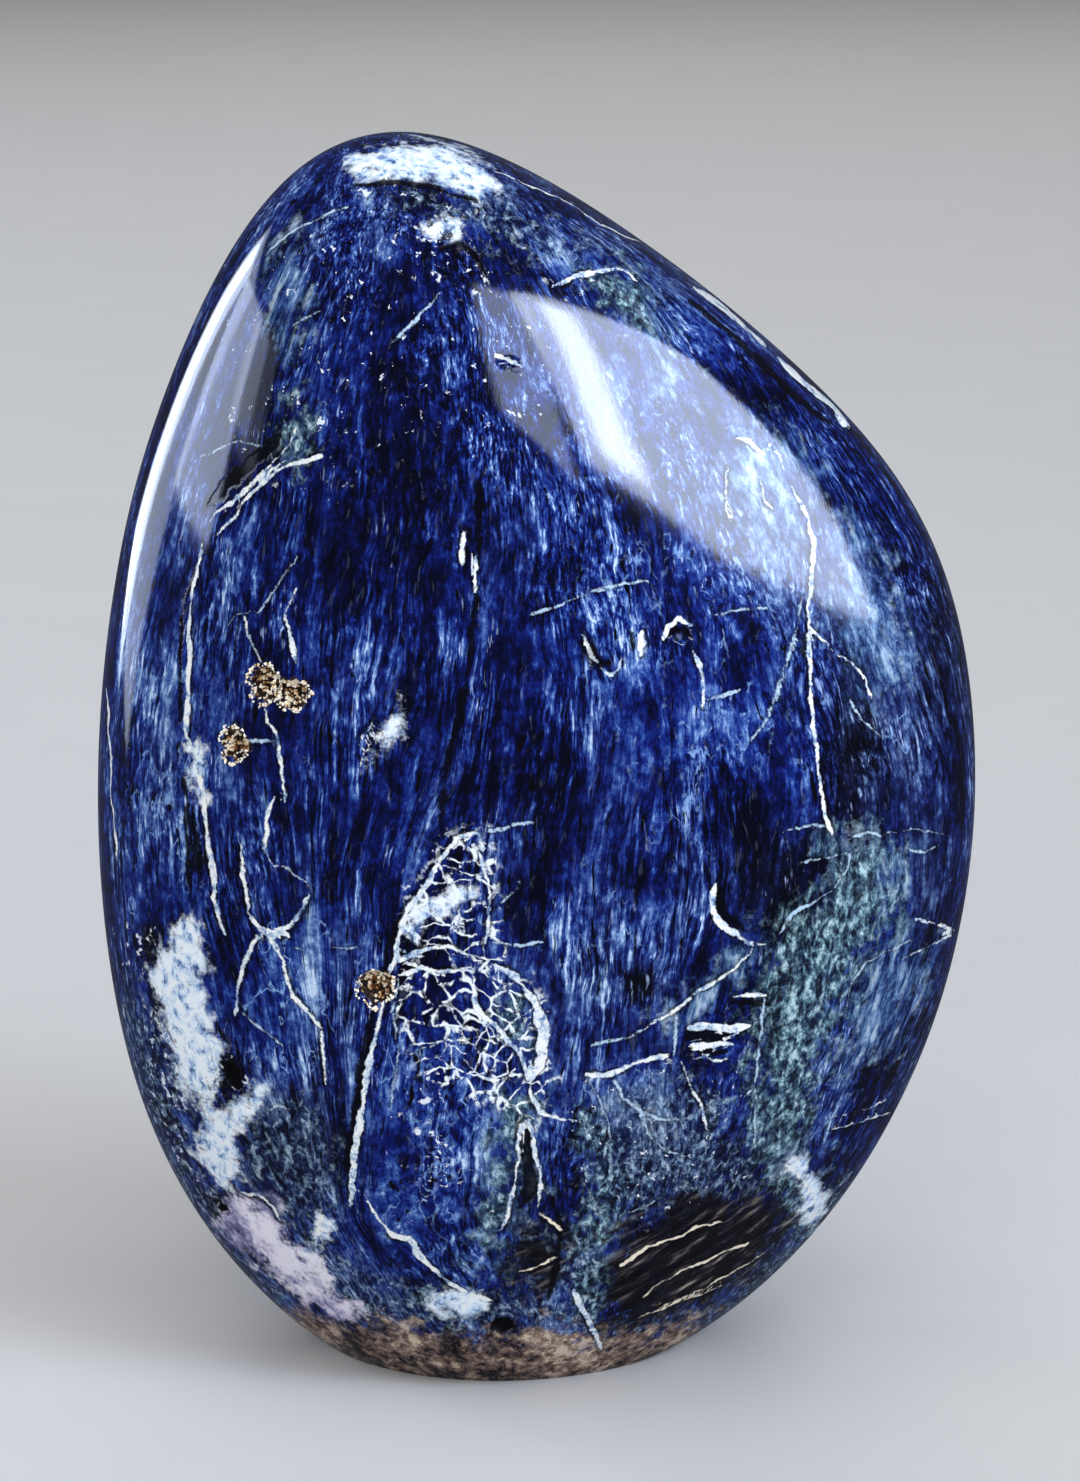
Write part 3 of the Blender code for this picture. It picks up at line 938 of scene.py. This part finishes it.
def blended(tree, share, under, over, kind="MIX"):
    node = newNode(tree, "ShaderNodeMix", data_type="RGBA", blend_type=kind)
    for key, value in ((0, share), (6, under), (7, over)):
        if isinstance(value, bpy.types.NodeSocket):
            tree.links.new(value, node.inputs[key])
        elif key == 0:
            node.inputs[key].default_value = value
        else:
            node.inputs[key].default_value = (*value, 1.0)
    return node.outputs[2]


def newMaterial(name):
    material = bpy.data.materials.new(name)
    material.use_nodes = True
    tree = material.node_tree
    return material, tree, tree.nodes["Principled BSDF"]


# The stone's look. Grains are (cycles per mm across, through and along, detail, roughness).
finish = {
    "ior": 1.58,
    "polish": 0.06,
    "veinRoughness": 0.20,
    "pitRoughness": 0.65,
    "stray": ((0.16, 0.16, 0.07), 2.0, 0.5),
    "strayReach": (3.2, 3.2, 3.0),
    "jag": ((1.7, 1.7, 1.7), 3.0, 0.65),
    "jagReach": (0.50, 0.50, 0.50),
    "shadowReach": (1.8, 1.8, 1.8),
    "kink": ((0.75, 0.75, 0.40), 2.0, 0.5),
    "kinkReach": (0.55, 0.55, 0.6),
    # the last number is the weight of each grain in the tone of the blue
    "fibreGrains": {
        "broad": ((0.19, 0.19, 0.045), 3.0, 0.55, 0.95),
        "streaks": ((0.85, 0.85, 0.085), 4.0, 0.64, 1.20),
    },
    "stoneGrains": {
        "blotches": ((0.22, 0.22, 0.14), 5.0, 0.64, 1.15),
        "specks": ((1.3, 1.3, 1.0), 4.0, 0.72, 1.05),
    },
    "threads": ((2.8, 2.8, 0.25), 3.0, 0.70),
    "threadWeights": (0.7, 2.4),    # where the fibres show least and most
    "evenTone": 0.34,
    "showing": ((0.17, 0.17, 0.11), 3.0, 0.55),
    "ragged": ((0.46, 0.46, 0.46), 6.0, 0.70),
    "mottle": ((0.95, 0.95, 0.80), 5.0, 0.74),
    "banding": ((0.14, 0.8, 1.25), 4.0, 0.66),
    "bandingTilt": 26.0,
    "tealGrain": ((1.60, 1.60, 0.95), 4.0, 0.72),
    "denimGrain": ((0.90, 0.90, 0.30), 6.0, 0.74),
    "filament": ((0.30, 0.30, 0.17), 4.0, 0.55),
    "blues": (
        (0.00, (0.0005, 0.0009, 0.007)),
        (0.22, (0.0014, 0.0028, 0.034)),
        (0.38, (0.0032, 0.0080, 0.105)),
        (0.52, (0.0098, 0.0290, 0.206)),
        (0.66, (0.0420, 0.0980, 0.336)),
        (0.82, (0.1650, 0.2800, 0.560)),
        (1.00, (0.5600, 0.7000, 0.900)),
    ),
    "greys": (
        (0.00, (0.0008, 0.0010, 0.003)),
        (0.26, (0.0040, 0.0055, 0.017)),
        (0.44, (0.0140, 0.0210, 0.062)),
        (0.60, (0.0500, 0.0800, 0.155)),
        (0.78, (0.1500, 0.2200, 0.330)),
        (1.00, (0.4600, 0.5800, 0.680)),
    ),
    "white": (
        (0.35, (0.030, 0.065, 0.180)),
        (0.40, (0.250, 0.390, 0.640)),
        (0.46, (0.580, 0.730, 0.900)),
        (0.54, (0.880, 0.940, 0.990)),
    ),
    "lavender": (
        (0.36, (0.150, 0.145, 0.290)),
        (0.43, (0.430, 0.400, 0.590)),
        (0.50, (0.700, 0.660, 0.810)),
        (0.57, (0.900, 0.870, 0.960)),
    ),
    "teal": (
        (0.41, (0.006, 0.010, 0.016)),
        (0.47, (0.028, 0.056, 0.084)),
        (0.52, (0.080, 0.150, 0.190)),
        (0.57, (0.180, 0.320, 0.370)),
        (0.64, (0.520, 0.690, 0.730)),
    ),
    "denim": (
        (0.40, (0.003, 0.008, 0.040)),
        (0.46, (0.022, 0.058, 0.180)),
        (0.51, (0.095, 0.200, 0.400)),
        (0.56, (0.270, 0.440, 0.660)),
        (0.63, (0.640, 0.790, 0.890)),
    ),
    "mossy": (
        (0.42, (0.0016, 0.0020, 0.0060)),
        (0.49, (0.0120, 0.0190, 0.0520)),
        (0.54, (0.0600, 0.1000, 0.1800)),
        (0.59, (0.2200, 0.3400, 0.4600)),
        (0.67, (0.6400, 0.7400, 0.8000)),
    ),
    "brown": (
        (0.40, (0.0014, 0.0012, 0.0022)),
        (0.53, (0.0060, 0.0050, 0.0070)),
        (0.59, (0.0340, 0.0290, 0.0310)),
        (0.66, (0.1400, 0.1200, 0.1050)),
        (0.75, (0.5500, 0.4800, 0.4000)),
    ),
    # painted reflection of brown wood and painted contact shadow in the bottom rim
    "foot": (
        (0.34, (0.003, 0.003, 0.005)),
        (0.41, (0.030, 0.022, 0.026)),
        (0.48, (0.130, 0.090, 0.076)),
        (0.56, (0.270, 0.190, 0.145)),
        (0.66, (0.660, 0.530, 0.410)),
    ),
    "veins": (
        (0.38, (0.120, 0.210, 0.420)),
        (0.45, (0.520, 0.640, 0.760)),
        (0.53, (0.880, 0.900, 0.880)),
    ),
    "rust": (
        (0.40, (0.002, 0.001, 0.001)),
        (0.51, (0.016, 0.005, 0.003)),
        (0.59, (0.150, 0.050, 0.014)),
        (0.67, (0.600, 0.360, 0.120)),
    ),
    "cream": (0.86, 0.76, 0.60),
    "crackAndShadeBlack": (0.0012, 0.0010, 0.003),
    "hairPale": (0.46, 0.62, 0.78),
    "filamentPale": (0.20, 0.34, 0.62),
    "streakPale": (0.36, 0.48, 0.78),
    # each patch: (how ragged its edge is, how soft, how much it covers)
    "patches": {
        "teal": (14.0, 1.6, 0.90),
        "brown": (10.0, 1.3, 0.97),
        "foot": (11.0, 1.1, 1.0),
        "lavender": (8.0, 0.65, 0.96),
        "white": (6.0, 0.55, 0.98),
        "net": (5.0, 0.6, 1.0),
        "specks": (9.0, 0.8, 0.9),
        "mossy": (13.0, 1.8, 0.66),
        "denim": (15.0, 1.6, 0.62),
        "frost": (12.0, 2.0, 0.9),
    },
}


def weighed(tree, value, weight):
    return sums(tree, "MULTIPLY", sums(tree, "SUBTRACT", value, 0.5), weight)


def strokeEdge(tree, name, jag, ragged, roughness):
    # how far outside the stroke's own edge a point lies, in mm: from the way to the stroke, which stays sharp
    # between mesh points, and from the plain distance where two strokes lie close
    way = shifted(tree, field(tree, name + "Way", True), jag)
    sharp = newNode(tree, "ShaderNodeVectorMath", {0: way}, operation="LENGTH").outputs["Value"]
    plain = sums(tree, "SUBTRACT", field(tree, name + "Gap"), markings["twinGap"])
    away = sums(tree, "ADD", sums(tree, "MAXIMUM", sharp, plain), sums(tree, "MULTIPLY", ragged, roughness))
    return sums(tree, "SUBTRACT", away, sums(tree, "MULTIPLY", field(tree, name + "Width"), 0.5))


def stoneMaterial():
    material, tree, shader = newMaterial("polished dumortierite")
    place = newNode(tree, "ShaderNodeTexCoord").outputs["Object"]
    spot = scaled(tree, place, (1000.0, 1000.0, 1000.0))

    def grain(vector, name):
        return grainNoise(tree, vector, *finish[name])

    # the fibres wander a little from the guides
    stray = shifted(tree, grainNoise(tree, spot, *finish["stray"], colored=True), (-0.5, -0.5, -0.5))
    kink = shifted(tree, grainNoise(tree, spot, *finish["kink"], colored=True), (-0.5, -0.5, -0.5))
    fibre = shifted(tree, field(tree, "fibre", True), scaled(tree, stray, finish["strayReach"]))
    fibre = shifted(tree, fibre, scaled(tree, kink, finish["kinkReach"]))
    bent = shifted(tree, spot, scaled(tree, kink, (1.2, 1.2, 1.2)))

    grains = {}
    tone = finish["evenTone"]
    for vector, kind in ((fibre, "fibreGrains"), (spot, "stoneGrains")):
        for name, (scale, detail, rough, weight) in finish[kind].items():
            grains[name] = grainNoise(tree, vector, scale, detail, rough)
            tone = sums(tree, "ADD", weighed(tree, grains[name], weight), tone)
    threads = grain(fibre, "threads")
    least, most = finish["threadWeights"]
    shown = sums(tree, "MULTIPLY", stepUp(tree, grain(shifted(tree, spot, (9.0, 4.0, 2.0)), "showing"), 0.42, 0.60), most - least)
    thread = sums(tree, "MULTIPLY", sums(tree, "SUBTRACT", threads, 0.5), sums(tree, "ADD", shown, least))
    tone = sums(tree, "ADD", tone, thread)
    cloud = sums(tree, "MULTIPLY", field(tree, "lighter"), sums(tree, "ADD", grains["blotches"], 0.5))
    tone = sums(tree, "ADD", tone, cloud, clamp=True)
    blue = tones(tree, tone, finish["blues"])
    grey = tones(tree, tone, finish["greys"])
    greyShare = sums(tree, "ADD", field(tree, "greyer"), weighed(tree, grains["broad"], 1.6), clamp=True)
    color = blended(tree, greyShare, blue, grey)

    # short pale streaks in clusters, and dark slits, along the fibres
    paleStreak = grainNoise(tree, fibre, (2.6, 2.6, 0.36), 2.0, 0.6)
    cluster = stepUp(tree, grains["blotches"], 0.53, 0.66)
    paleShare = sums(tree, "MULTIPLY", stepUp(tree, paleStreak, 0.61, 0.70), sums(tree, "ADD", cluster, 0.06))
    color = blended(tree, paleShare, color, finish["streakPale"])
    slit = grainNoise(tree, shifted(tree, fibre, (31.0, 7.0, 3.0)), (1.9, 1.9, 0.22), 3.0, 0.6)
    color = blended(tree, stepUp(tree, slit, 0.60, 0.68), color, finish["crackAndShadeBlack"])

    ragged = sums(tree, "SUBTRACT", grain(spot, "ragged"), 0.5)
    mottle = grain(bent, "mottle")
    tilted = newNode(
        tree, "ShaderNodeMapping", {"Vector": spot, "Rotation": (0.0, math.radians(finish["bandingTilt"]), 0.0)}
    ).outputs[0]

    def patchShare(name):
        rough, soft, cover = finish["patches"][name]
        edge = sums(tree, "ADD", field(tree, name + "Edge"), sums(tree, "MULTIPLY", ragged, rough))
        return sums(tree, "MULTIPLY", stepDown(tree, edge, -soft, soft), cover)

    # thin winding filaments where the stone is milky
    winding = sums(tree, "ABSOLUTE", sums(tree, "SUBTRACT", grain(bent, "filament"), 0.5))
    milky = stepUp(tree, sums(tree, "ADD", field(tree, "lighter"), weighed(tree, grains["blotches"], 0.9)), 0.06, 0.24)
    filament = sums(tree, "MULTIPLY", stepDown(tree, winding, 0.003, 0.016), milky)
    filament = sums(tree, "MULTIPLY", filament, stepUp(tree, mottle, 0.42, 0.56))
    color = blended(tree, filament, color, finish["filamentPale"])

    denimGrain = grain(fibre, "denimGrain")
    color = blended(tree, patchShare("denim"), color, tones(tree, denimGrain, finish["denim"]))
    tealGrain = grain(shifted(tree, bent, (5.0, 1.0, 9.0)), "tealGrain")
    color = blended(tree, patchShare("teal"), color, tones(tree, tealGrain, finish["teal"]))
    color = blended(tree, patchShare("mossy"), color, tones(tree, tealGrain, finish["mossy"]))
    banding = grain(tilted, "banding")
    color = blended(tree, patchShare("brown"), color, tones(tree, banding, finish["brown"]))
    # the bottom rim: painted reflection of brown wood and painted contact shadow
    footReflectionGrain = sums(tree, "ADD", mottle, weighed(tree, grains["blotches"], 0.7))
    color = blended(tree, patchShare("foot"), color, tones(tree, footReflectionGrain, finish["foot"]))
    milk = sums(tree, "ADD", grains["blotches"], weighed(tree, mottle, 0.60))
    color = blended(tree, patchShare("lavender"), color, tones(tree, milk, finish["lavender"]))
    whiteShare = patchShare("white")
    color = blended(tree, whiteShare, color, tones(tree, mottle, finish["white"]))

    # black and white specks in clusters
    speckle = grainNoise(tree, bent, (1.25, 1.25, 1.25), 3.0, 0.62)
    specksShare = patchShare("specks")
    darkSpeck = sums(tree, "MULTIPLY", stepDown(tree, speckle, 0.40, 0.46), specksShare)
    paleSpeck = sums(tree, "MULTIPLY", stepUp(tree, speckle, 0.60, 0.64), specksShare)
    frost = sums(tree, "MULTIPLY", stepUp(tree, speckle, 0.665, 0.695), patchShare("frost"))
    paleSpeck = sums(tree, "MAXIMUM", paleSpeck, frost)
    color = blended(tree, darkSpeck, color, finish["crackAndShadeBlack"])
    color = blended(tree, paleSpeck, color, (0.80, 0.86, 0.92))

    # the net: a crackle of pale lines between the traced ones
    cells = shifted(tree, scaled(tree, bent, (0.52, 0.60, 0.74)), scaled(tree, stray, (2.6, 2.6, 2.6)))
    crackle = newNode(
        tree, "ShaderNodeTexVoronoi", {"Vector": cells, "Scale": 1.0}, feature="DISTANCE_TO_EDGE"
    ).outputs["Distance"]
    crackleLine = stepDown(tree, sums(tree, "ADD", crackle, sums(tree, "MULTIPLY", ragged, 0.36)), 0.03, 0.09)
    netShare = sums(tree, "MULTIPLY", crackleLine, patchShare("net"))
    netShare = sums(tree, "MULTIPLY", netShare, stepUp(tree, mottle, 0.42, 0.52))
    color = blended(tree, netShare, color, (0.84, 0.91, 0.95))

    # cracks darken the stone beside them; the hairlines get painted shade beside them, and the veins stand white beside
    # a painted shadow that strays from side to side
    jag = shifted(tree, grainNoise(tree, spot, *finish["jag"], colored=True), (-0.5, -0.5, -0.5))
    jag = scaled(tree, jag, finish["jagReach"])
    # the dark cracks, among them the painted shadows beside some veins and the flake
    crackEdge = strokeEdge(tree, "crack", jag, ragged, 1.3)
    crackShare = stepDown(tree, crackEdge, -0.10, 0.16)
    color = blended(tree, sums(tree, "MULTIPLY", crackShare, 0.95), color, finish["crackAndShadeBlack"])

    hairEdge = strokeEdge(tree, "hair", jag, ragged, 0.45)
    hairShare = sums(tree, "MULTIPLY", stepDown(tree, hairEdge, -0.05, 0.07), stepUp(tree, mottle, 0.38, 0.52))
    # painted shade along both sides of the hairlines
    hairPaintedShade = stepDown(tree, hairEdge, 0.02, 0.30)
    color = blended(tree, sums(tree, "MULTIPLY", hairPaintedShade, 0.45), color, finish["crackAndShadeBlack"])
    color = blended(tree, hairShare, color, finish["hairPale"])

    veinEdge = strokeEdge(tree, "vein", jag, ragged, 0.60)
    veinShare = sums(tree, "MULTIPLY", stepDown(tree, veinEdge, -0.05, 0.06), stepUp(tree, mottle, 0.26, 0.38))
    # painted shadow beside the veins, shifted to one side and left off the white patches
    aside = shifted(tree, jag, scaled(tree, stray, finish["shadowReach"]))
    shadowEdge = strokeEdge(tree, "vein", aside, ragged, 1.8)
    veinShadow = sums(tree, "MULTIPLY", stepDown(tree, shadowEdge, 0.0, 0.32), sums(tree, "SUBTRACT", 1.0, whiteShare))
    color = blended(tree, sums(tree, "MULTIPLY", veinShadow, 0.85), color, finish["crackAndShadeBlack"])
    veinColor = blended(tree, field(tree, "veinTint"), tones(tree, mottle, finish["veins"]), finish["cream"])
    color = blended(tree, veinShare, color, veinColor)

    # the pits: painted shade inside, full in the deeper ones, and rusty gold about the crystals
    hollow = field(tree, "hollow")
    rust = tones(tree, grainNoise(tree, spot, (2.6, 2.6, 2.6), 3.0, 0.6), finish["rust"])
    # near black painted shade in the pit, with the rusty gold over it where the gold reaches
    pitShadeAndRust = blended(tree, field(tree, "golden"), (0.003, 0.003, 0.006), rust)
    color = blended(tree, stepUp(tree, hollow, 0.05, 0.35), color, pitShadeAndRust)
    tree.links.new(color, shader.inputs["Base Color"])

    rougher = sums(tree, "MULTIPLY", veinShare, finish["veinRoughness"] - finish["polish"])
    roughness = sums(tree, "ADD", finish["polish"], rougher)
    pitRough = sums(tree, "MULTIPLY", stepUp(tree, hollow, 0.02, 0.3), finish["pitRoughness"])
    tree.links.new(sums(tree, "MAXIMUM", roughness, pitRough), shader.inputs["Roughness"])
    shader.inputs["IOR"].default_value = finish["ior"]

    height = sums(tree, "MULTIPLY", threads, 0.05)
    height = sums(tree, "SUBTRACT", height, sums(tree, "MULTIPLY", veinShare, 0.25))
    height = sums(tree, "SUBTRACT", height, sums(tree, "MULTIPLY", crackShare, 0.3))
    pitGrain = sums(tree, "MULTIPLY", sums(tree, "MULTIPLY", mottle, hollow), 2.5)
    height = sums(tree, "ADD", height, pitGrain)
    bump = newNode(tree, "ShaderNodeBump", {"Height": height, "Distance": 0.0001, "Strength": 0.6})
    tree.links.new(bump.outputs[0], shader.inputs["Normal"])
    return material


crystals = {
    "seed": 11,
    "pitShadeDepth": 0.0007,   # shallower pits are only lightly shaded
    "shadeCore": 0.85,       # share of the pit's size within which the gold gives way to painted shade
    # (how many in each pit, from and to as shares of its size, smallest, largest, paleness); the crystals lower in a
    # pit are painted darker, as shade
    "rings": {
        "rim crust": (125, 0.88, 1.12, 0.00005, 0.00013, 1.30),
        "walls": (34, 0.40, 0.84, 0.00007, 0.00020, 1.00),
        "bottom": (12, 0.00, 0.40, 0.00006, 0.00015, 0.45),
    },
    "paler": 0.55,
    "contrast": 3.6,
    "bulge": 0.5,           # how far a pit's crust strays from a circle
    "golds": (
        (0.00, (0.012, 0.003, 0.001)),
        (0.35, (0.260, 0.075, 0.018)),
        (0.60, (0.760, 0.500, 0.200)),
        (0.85, (1.000, 0.940, 0.800)),
    ),
}


def crystalMaterial():
    material, tree, shader = newMaterial("golden crystals")
    place = newNode(tree, "ShaderNodeTexCoord").outputs["Object"]
    grain = grainNoise(tree, place, (2200.0, 2200.0, 2200.0), 3.0, 0.7)
    paleness = weighed(tree, field(tree, "pale"), crystals["paler"])
    tone = sums(tree, "ADD", weighed(tree, grain, crystals["contrast"]), sums(tree, "ADD", paleness, 0.5), clamp=True)
    tree.links.new(tones(tree, tone, crystals["golds"]), shader.inputs["Base Color"])
    shader.inputs["Roughness"].default_value = 0.32
    return material


def growCrystals(frames, shift):
    # a crust of small crystals round the rim and down the walls of the golden pits
    rng = random.Random(crystals["seed"])
    shape = bmesh.new()
    paleness = shape.verts.layers.float.new("pale")
    for name, (place, outward, right, upward, halfWidth, halfLength, depth) in frames.items():
        if "gold" not in name:
            continue
        centre = Vector(place + shift)
        for count, nearest, farthest, smallest, largest, pale in crystals["rings"].values():
            for _ in range(count):
                angle = rng.uniform(0.0, math.tau)
                lean = Vector((math.cos(angle) * 1.4, math.sin(angle) * 1.4, len(name)))
                out = rng.uniform(nearest, farthest) * (1.0 + crystals["bulge"] * noise.noise(lean))
                sunk = depth * math.sqrt(max(0.0, 1.0 - out * out)) * 0.92
                spot = centre + right * (math.cos(angle) * out * halfWidth)
                spot += upward * (math.sin(angle) * out * halfLength) - outward * sunk
                size = rng.uniform(smallest, largest)
                axis = Vector((rng.random(), rng.random(), rng.random())).normalized()
                turn = Matrix.Rotation(rng.uniform(0.0, math.tau), 4, axis)
                stretch = Matrix.Diagonal((1.0, 1.0, rng.uniform(0.9, 1.5), 1.0))
                made = bmesh.ops.create_cone(
                    shape,
                    cap_ends=True,
                    segments=rng.choice((4, 5, 6)),
                    radius1=size,
                    radius2=size * 0.45,
                    depth=size * 1.5,
                    matrix=Matrix.Translation(spot) @ turn @ stretch,
                )
                for corner in made["verts"]:
                    corner[paleness] = pale
    bmesh.ops.recalc_face_normals(shape, faces=shape.faces[:])
    return shape


def newPiece(shape, name, material):
    mesh = bpy.data.meshes.new(name)
    shape.to_mesh(mesh)
    piece = bpy.data.objects.new(name, mesh)
    bpy.context.scene.collection.objects.link(piece)
    mesh.materials.append(material)
    return piece


studio = {
    "floorSize": 8.0,
    "floorColor": (0.62, 0.61, 0.59),
    "worldColor": (0.055, 0.058, 0.065),
    # each panel that the polish mirrors:
    # (degrees round from the front to the right, degrees up, roll, distance, width, height, radiance)
    "mirrored": {
        "window, bright side": (60.6, 32.0, -16.0, 1.30, 0.57, 0.43, 8.8),
        "window, dim side": (39.0, 34.9, -25.0, 1.31, 0.26, 0.46, 3.6),
        "window, glare": (53.8, 33.4, -18.7, 1.28, 0.11, 0.36, 13.0),
        "left strip": (-126.0, 9.0, -29.0, 1.00, 0.09, 0.50, 8.0),
        "left glow": (-125.0, 9.0, -29.0, 1.01, 0.18, 0.54, 5.0),
        "left halo": (-119.0, 9.5, -22.0, 1.02, 0.34, 0.54, 2.2),
        "left haze": (-103.0, 12.0, 0.0, 1.10, 0.36, 0.28, 3.8),
        "left haze, far side": (-92.0, 14.0, 0.0, 1.11, 0.20, 0.15, 1.5),
        "left haze, edge": (-88.0, 14.0, 0.0, 1.12, 0.30, 0.19, 0.6),
    },
    "mirroredColor": (0.80, 0.92, 1.18),
    # panels that only give light, in the same order of numbers
    "fill": {
        "overhead": (0.0, 75.0, 0.0, 1.2, 1.2, 1.0, 2.2),
        "front": (-12.0, 24.0, 0.0, 1.2, 1.0, 0.6, 3.2),
        "front right": (35.0, 20.0, 0.0, 1.3, 0.6, 0.5, 2.0),
        "back": (180.0, 35.0, 0.0, 1.4, 1.2, 0.6, 2.5),
    },
}


def lightStudio():
    panels = {**studio["mirrored"], **studio["fill"]}
    for name, (around, up, roll, distance, width, height, radiance) in panels.items():
        around = math.radians(around)
        up = math.radians(up)
        way = Vector((math.cos(up) * math.sin(around), -math.cos(up) * math.cos(around), math.sin(up)))
        lamp = bpy.data.lights.new(name, "AREA")
        lamp.shape = "RECTANGLE"
        lamp.size = width
        lamp.size_y = height
        lamp.energy = radiance * math.pi * width * height
        holder = bpy.data.objects.new(name, lamp)
        holder.location = Vector(view["aim"]) + way * distance
        turned = way.to_track_quat("Z", "Y") @ Quaternion((0.0, 0.0, 1.0), math.radians(roll))
        holder.rotation_euler = turned.to_euler()
        holder.visible_camera = False
        holder.visible_glossy = name in studio["mirrored"]
        if holder.visible_glossy:
            lamp.color = studio["mirroredColor"]
        bpy.context.scene.collection.objects.link(holder)
    world = bpy.data.worlds.new("studio")
    world.use_nodes = True
    world.node_tree.nodes["Background"].inputs["Color"].default_value = (*studio["worldColor"], 1.0)
    bpy.context.scene.world = world


def layFloor():
    shape = bmesh.new()
    bmesh.ops.create_grid(shape, x_segments=1, y_segments=1, size=studio["floorSize"] / 2.0)
    material, tree, shader = newMaterial("pale floor")
    place = newNode(tree, "ShaderNodeTexCoord").outputs["Object"]
    grain = grainNoise(tree, place, (60.0, 60.0, 60.0), 4.0, 0.6)
    shade = tuple(value * 0.94 for value in studio["floorColor"])
    tree.links.new(blended(tree, grain, shade, studio["floorColor"]), shader.inputs["Base Color"])
    shader.inputs["Roughness"].default_value = 0.7
    floor = newPiece(shape, "floor", material)
    shape.free()
    floor.visible_glossy = False


def setCamera():
    lens = bpy.data.cameras.new("camera")
    lens.sensor_width = view["sensor"]
    lens.lens = view["lens"]
    lens.clip_start = 0.01
    camera = bpy.data.objects.new("camera", lens)
    camera.location = eye
    camera.rotation_euler = (-lookWay).to_track_quat("Z", "Y").to_euler()
    bpy.context.scene.collection.objects.link(camera)
    bpy.context.scene.camera = camera


setCamera()
lightStudio()
layFloor()
print("studio: camera, lights and floor")

stoneShape, frames, shift = shapeStone()
dressed = newPiece(stoneShape, "dressed_stone", stoneMaterial())
dressed.data.shade_smooth()
markStone(dressed.data, stoneShape, frames, shift)
stoneShape.free()
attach(dressed, "root")
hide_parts("stone")
dressed.data.calc_loop_triangles()
print("stone:", len(dressed.data.loop_triangles), "triangles")

crystalShape = growCrystals(frames, shift)
crust = newPiece(crystalShape, "golden_crystals", crystalMaterial())
crystalShape.free()
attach(crust, "root")
print("crystals:", len(crust.data.polygons), "faces")

bpy.context.scene.view_settings.view_transform = "Standard"
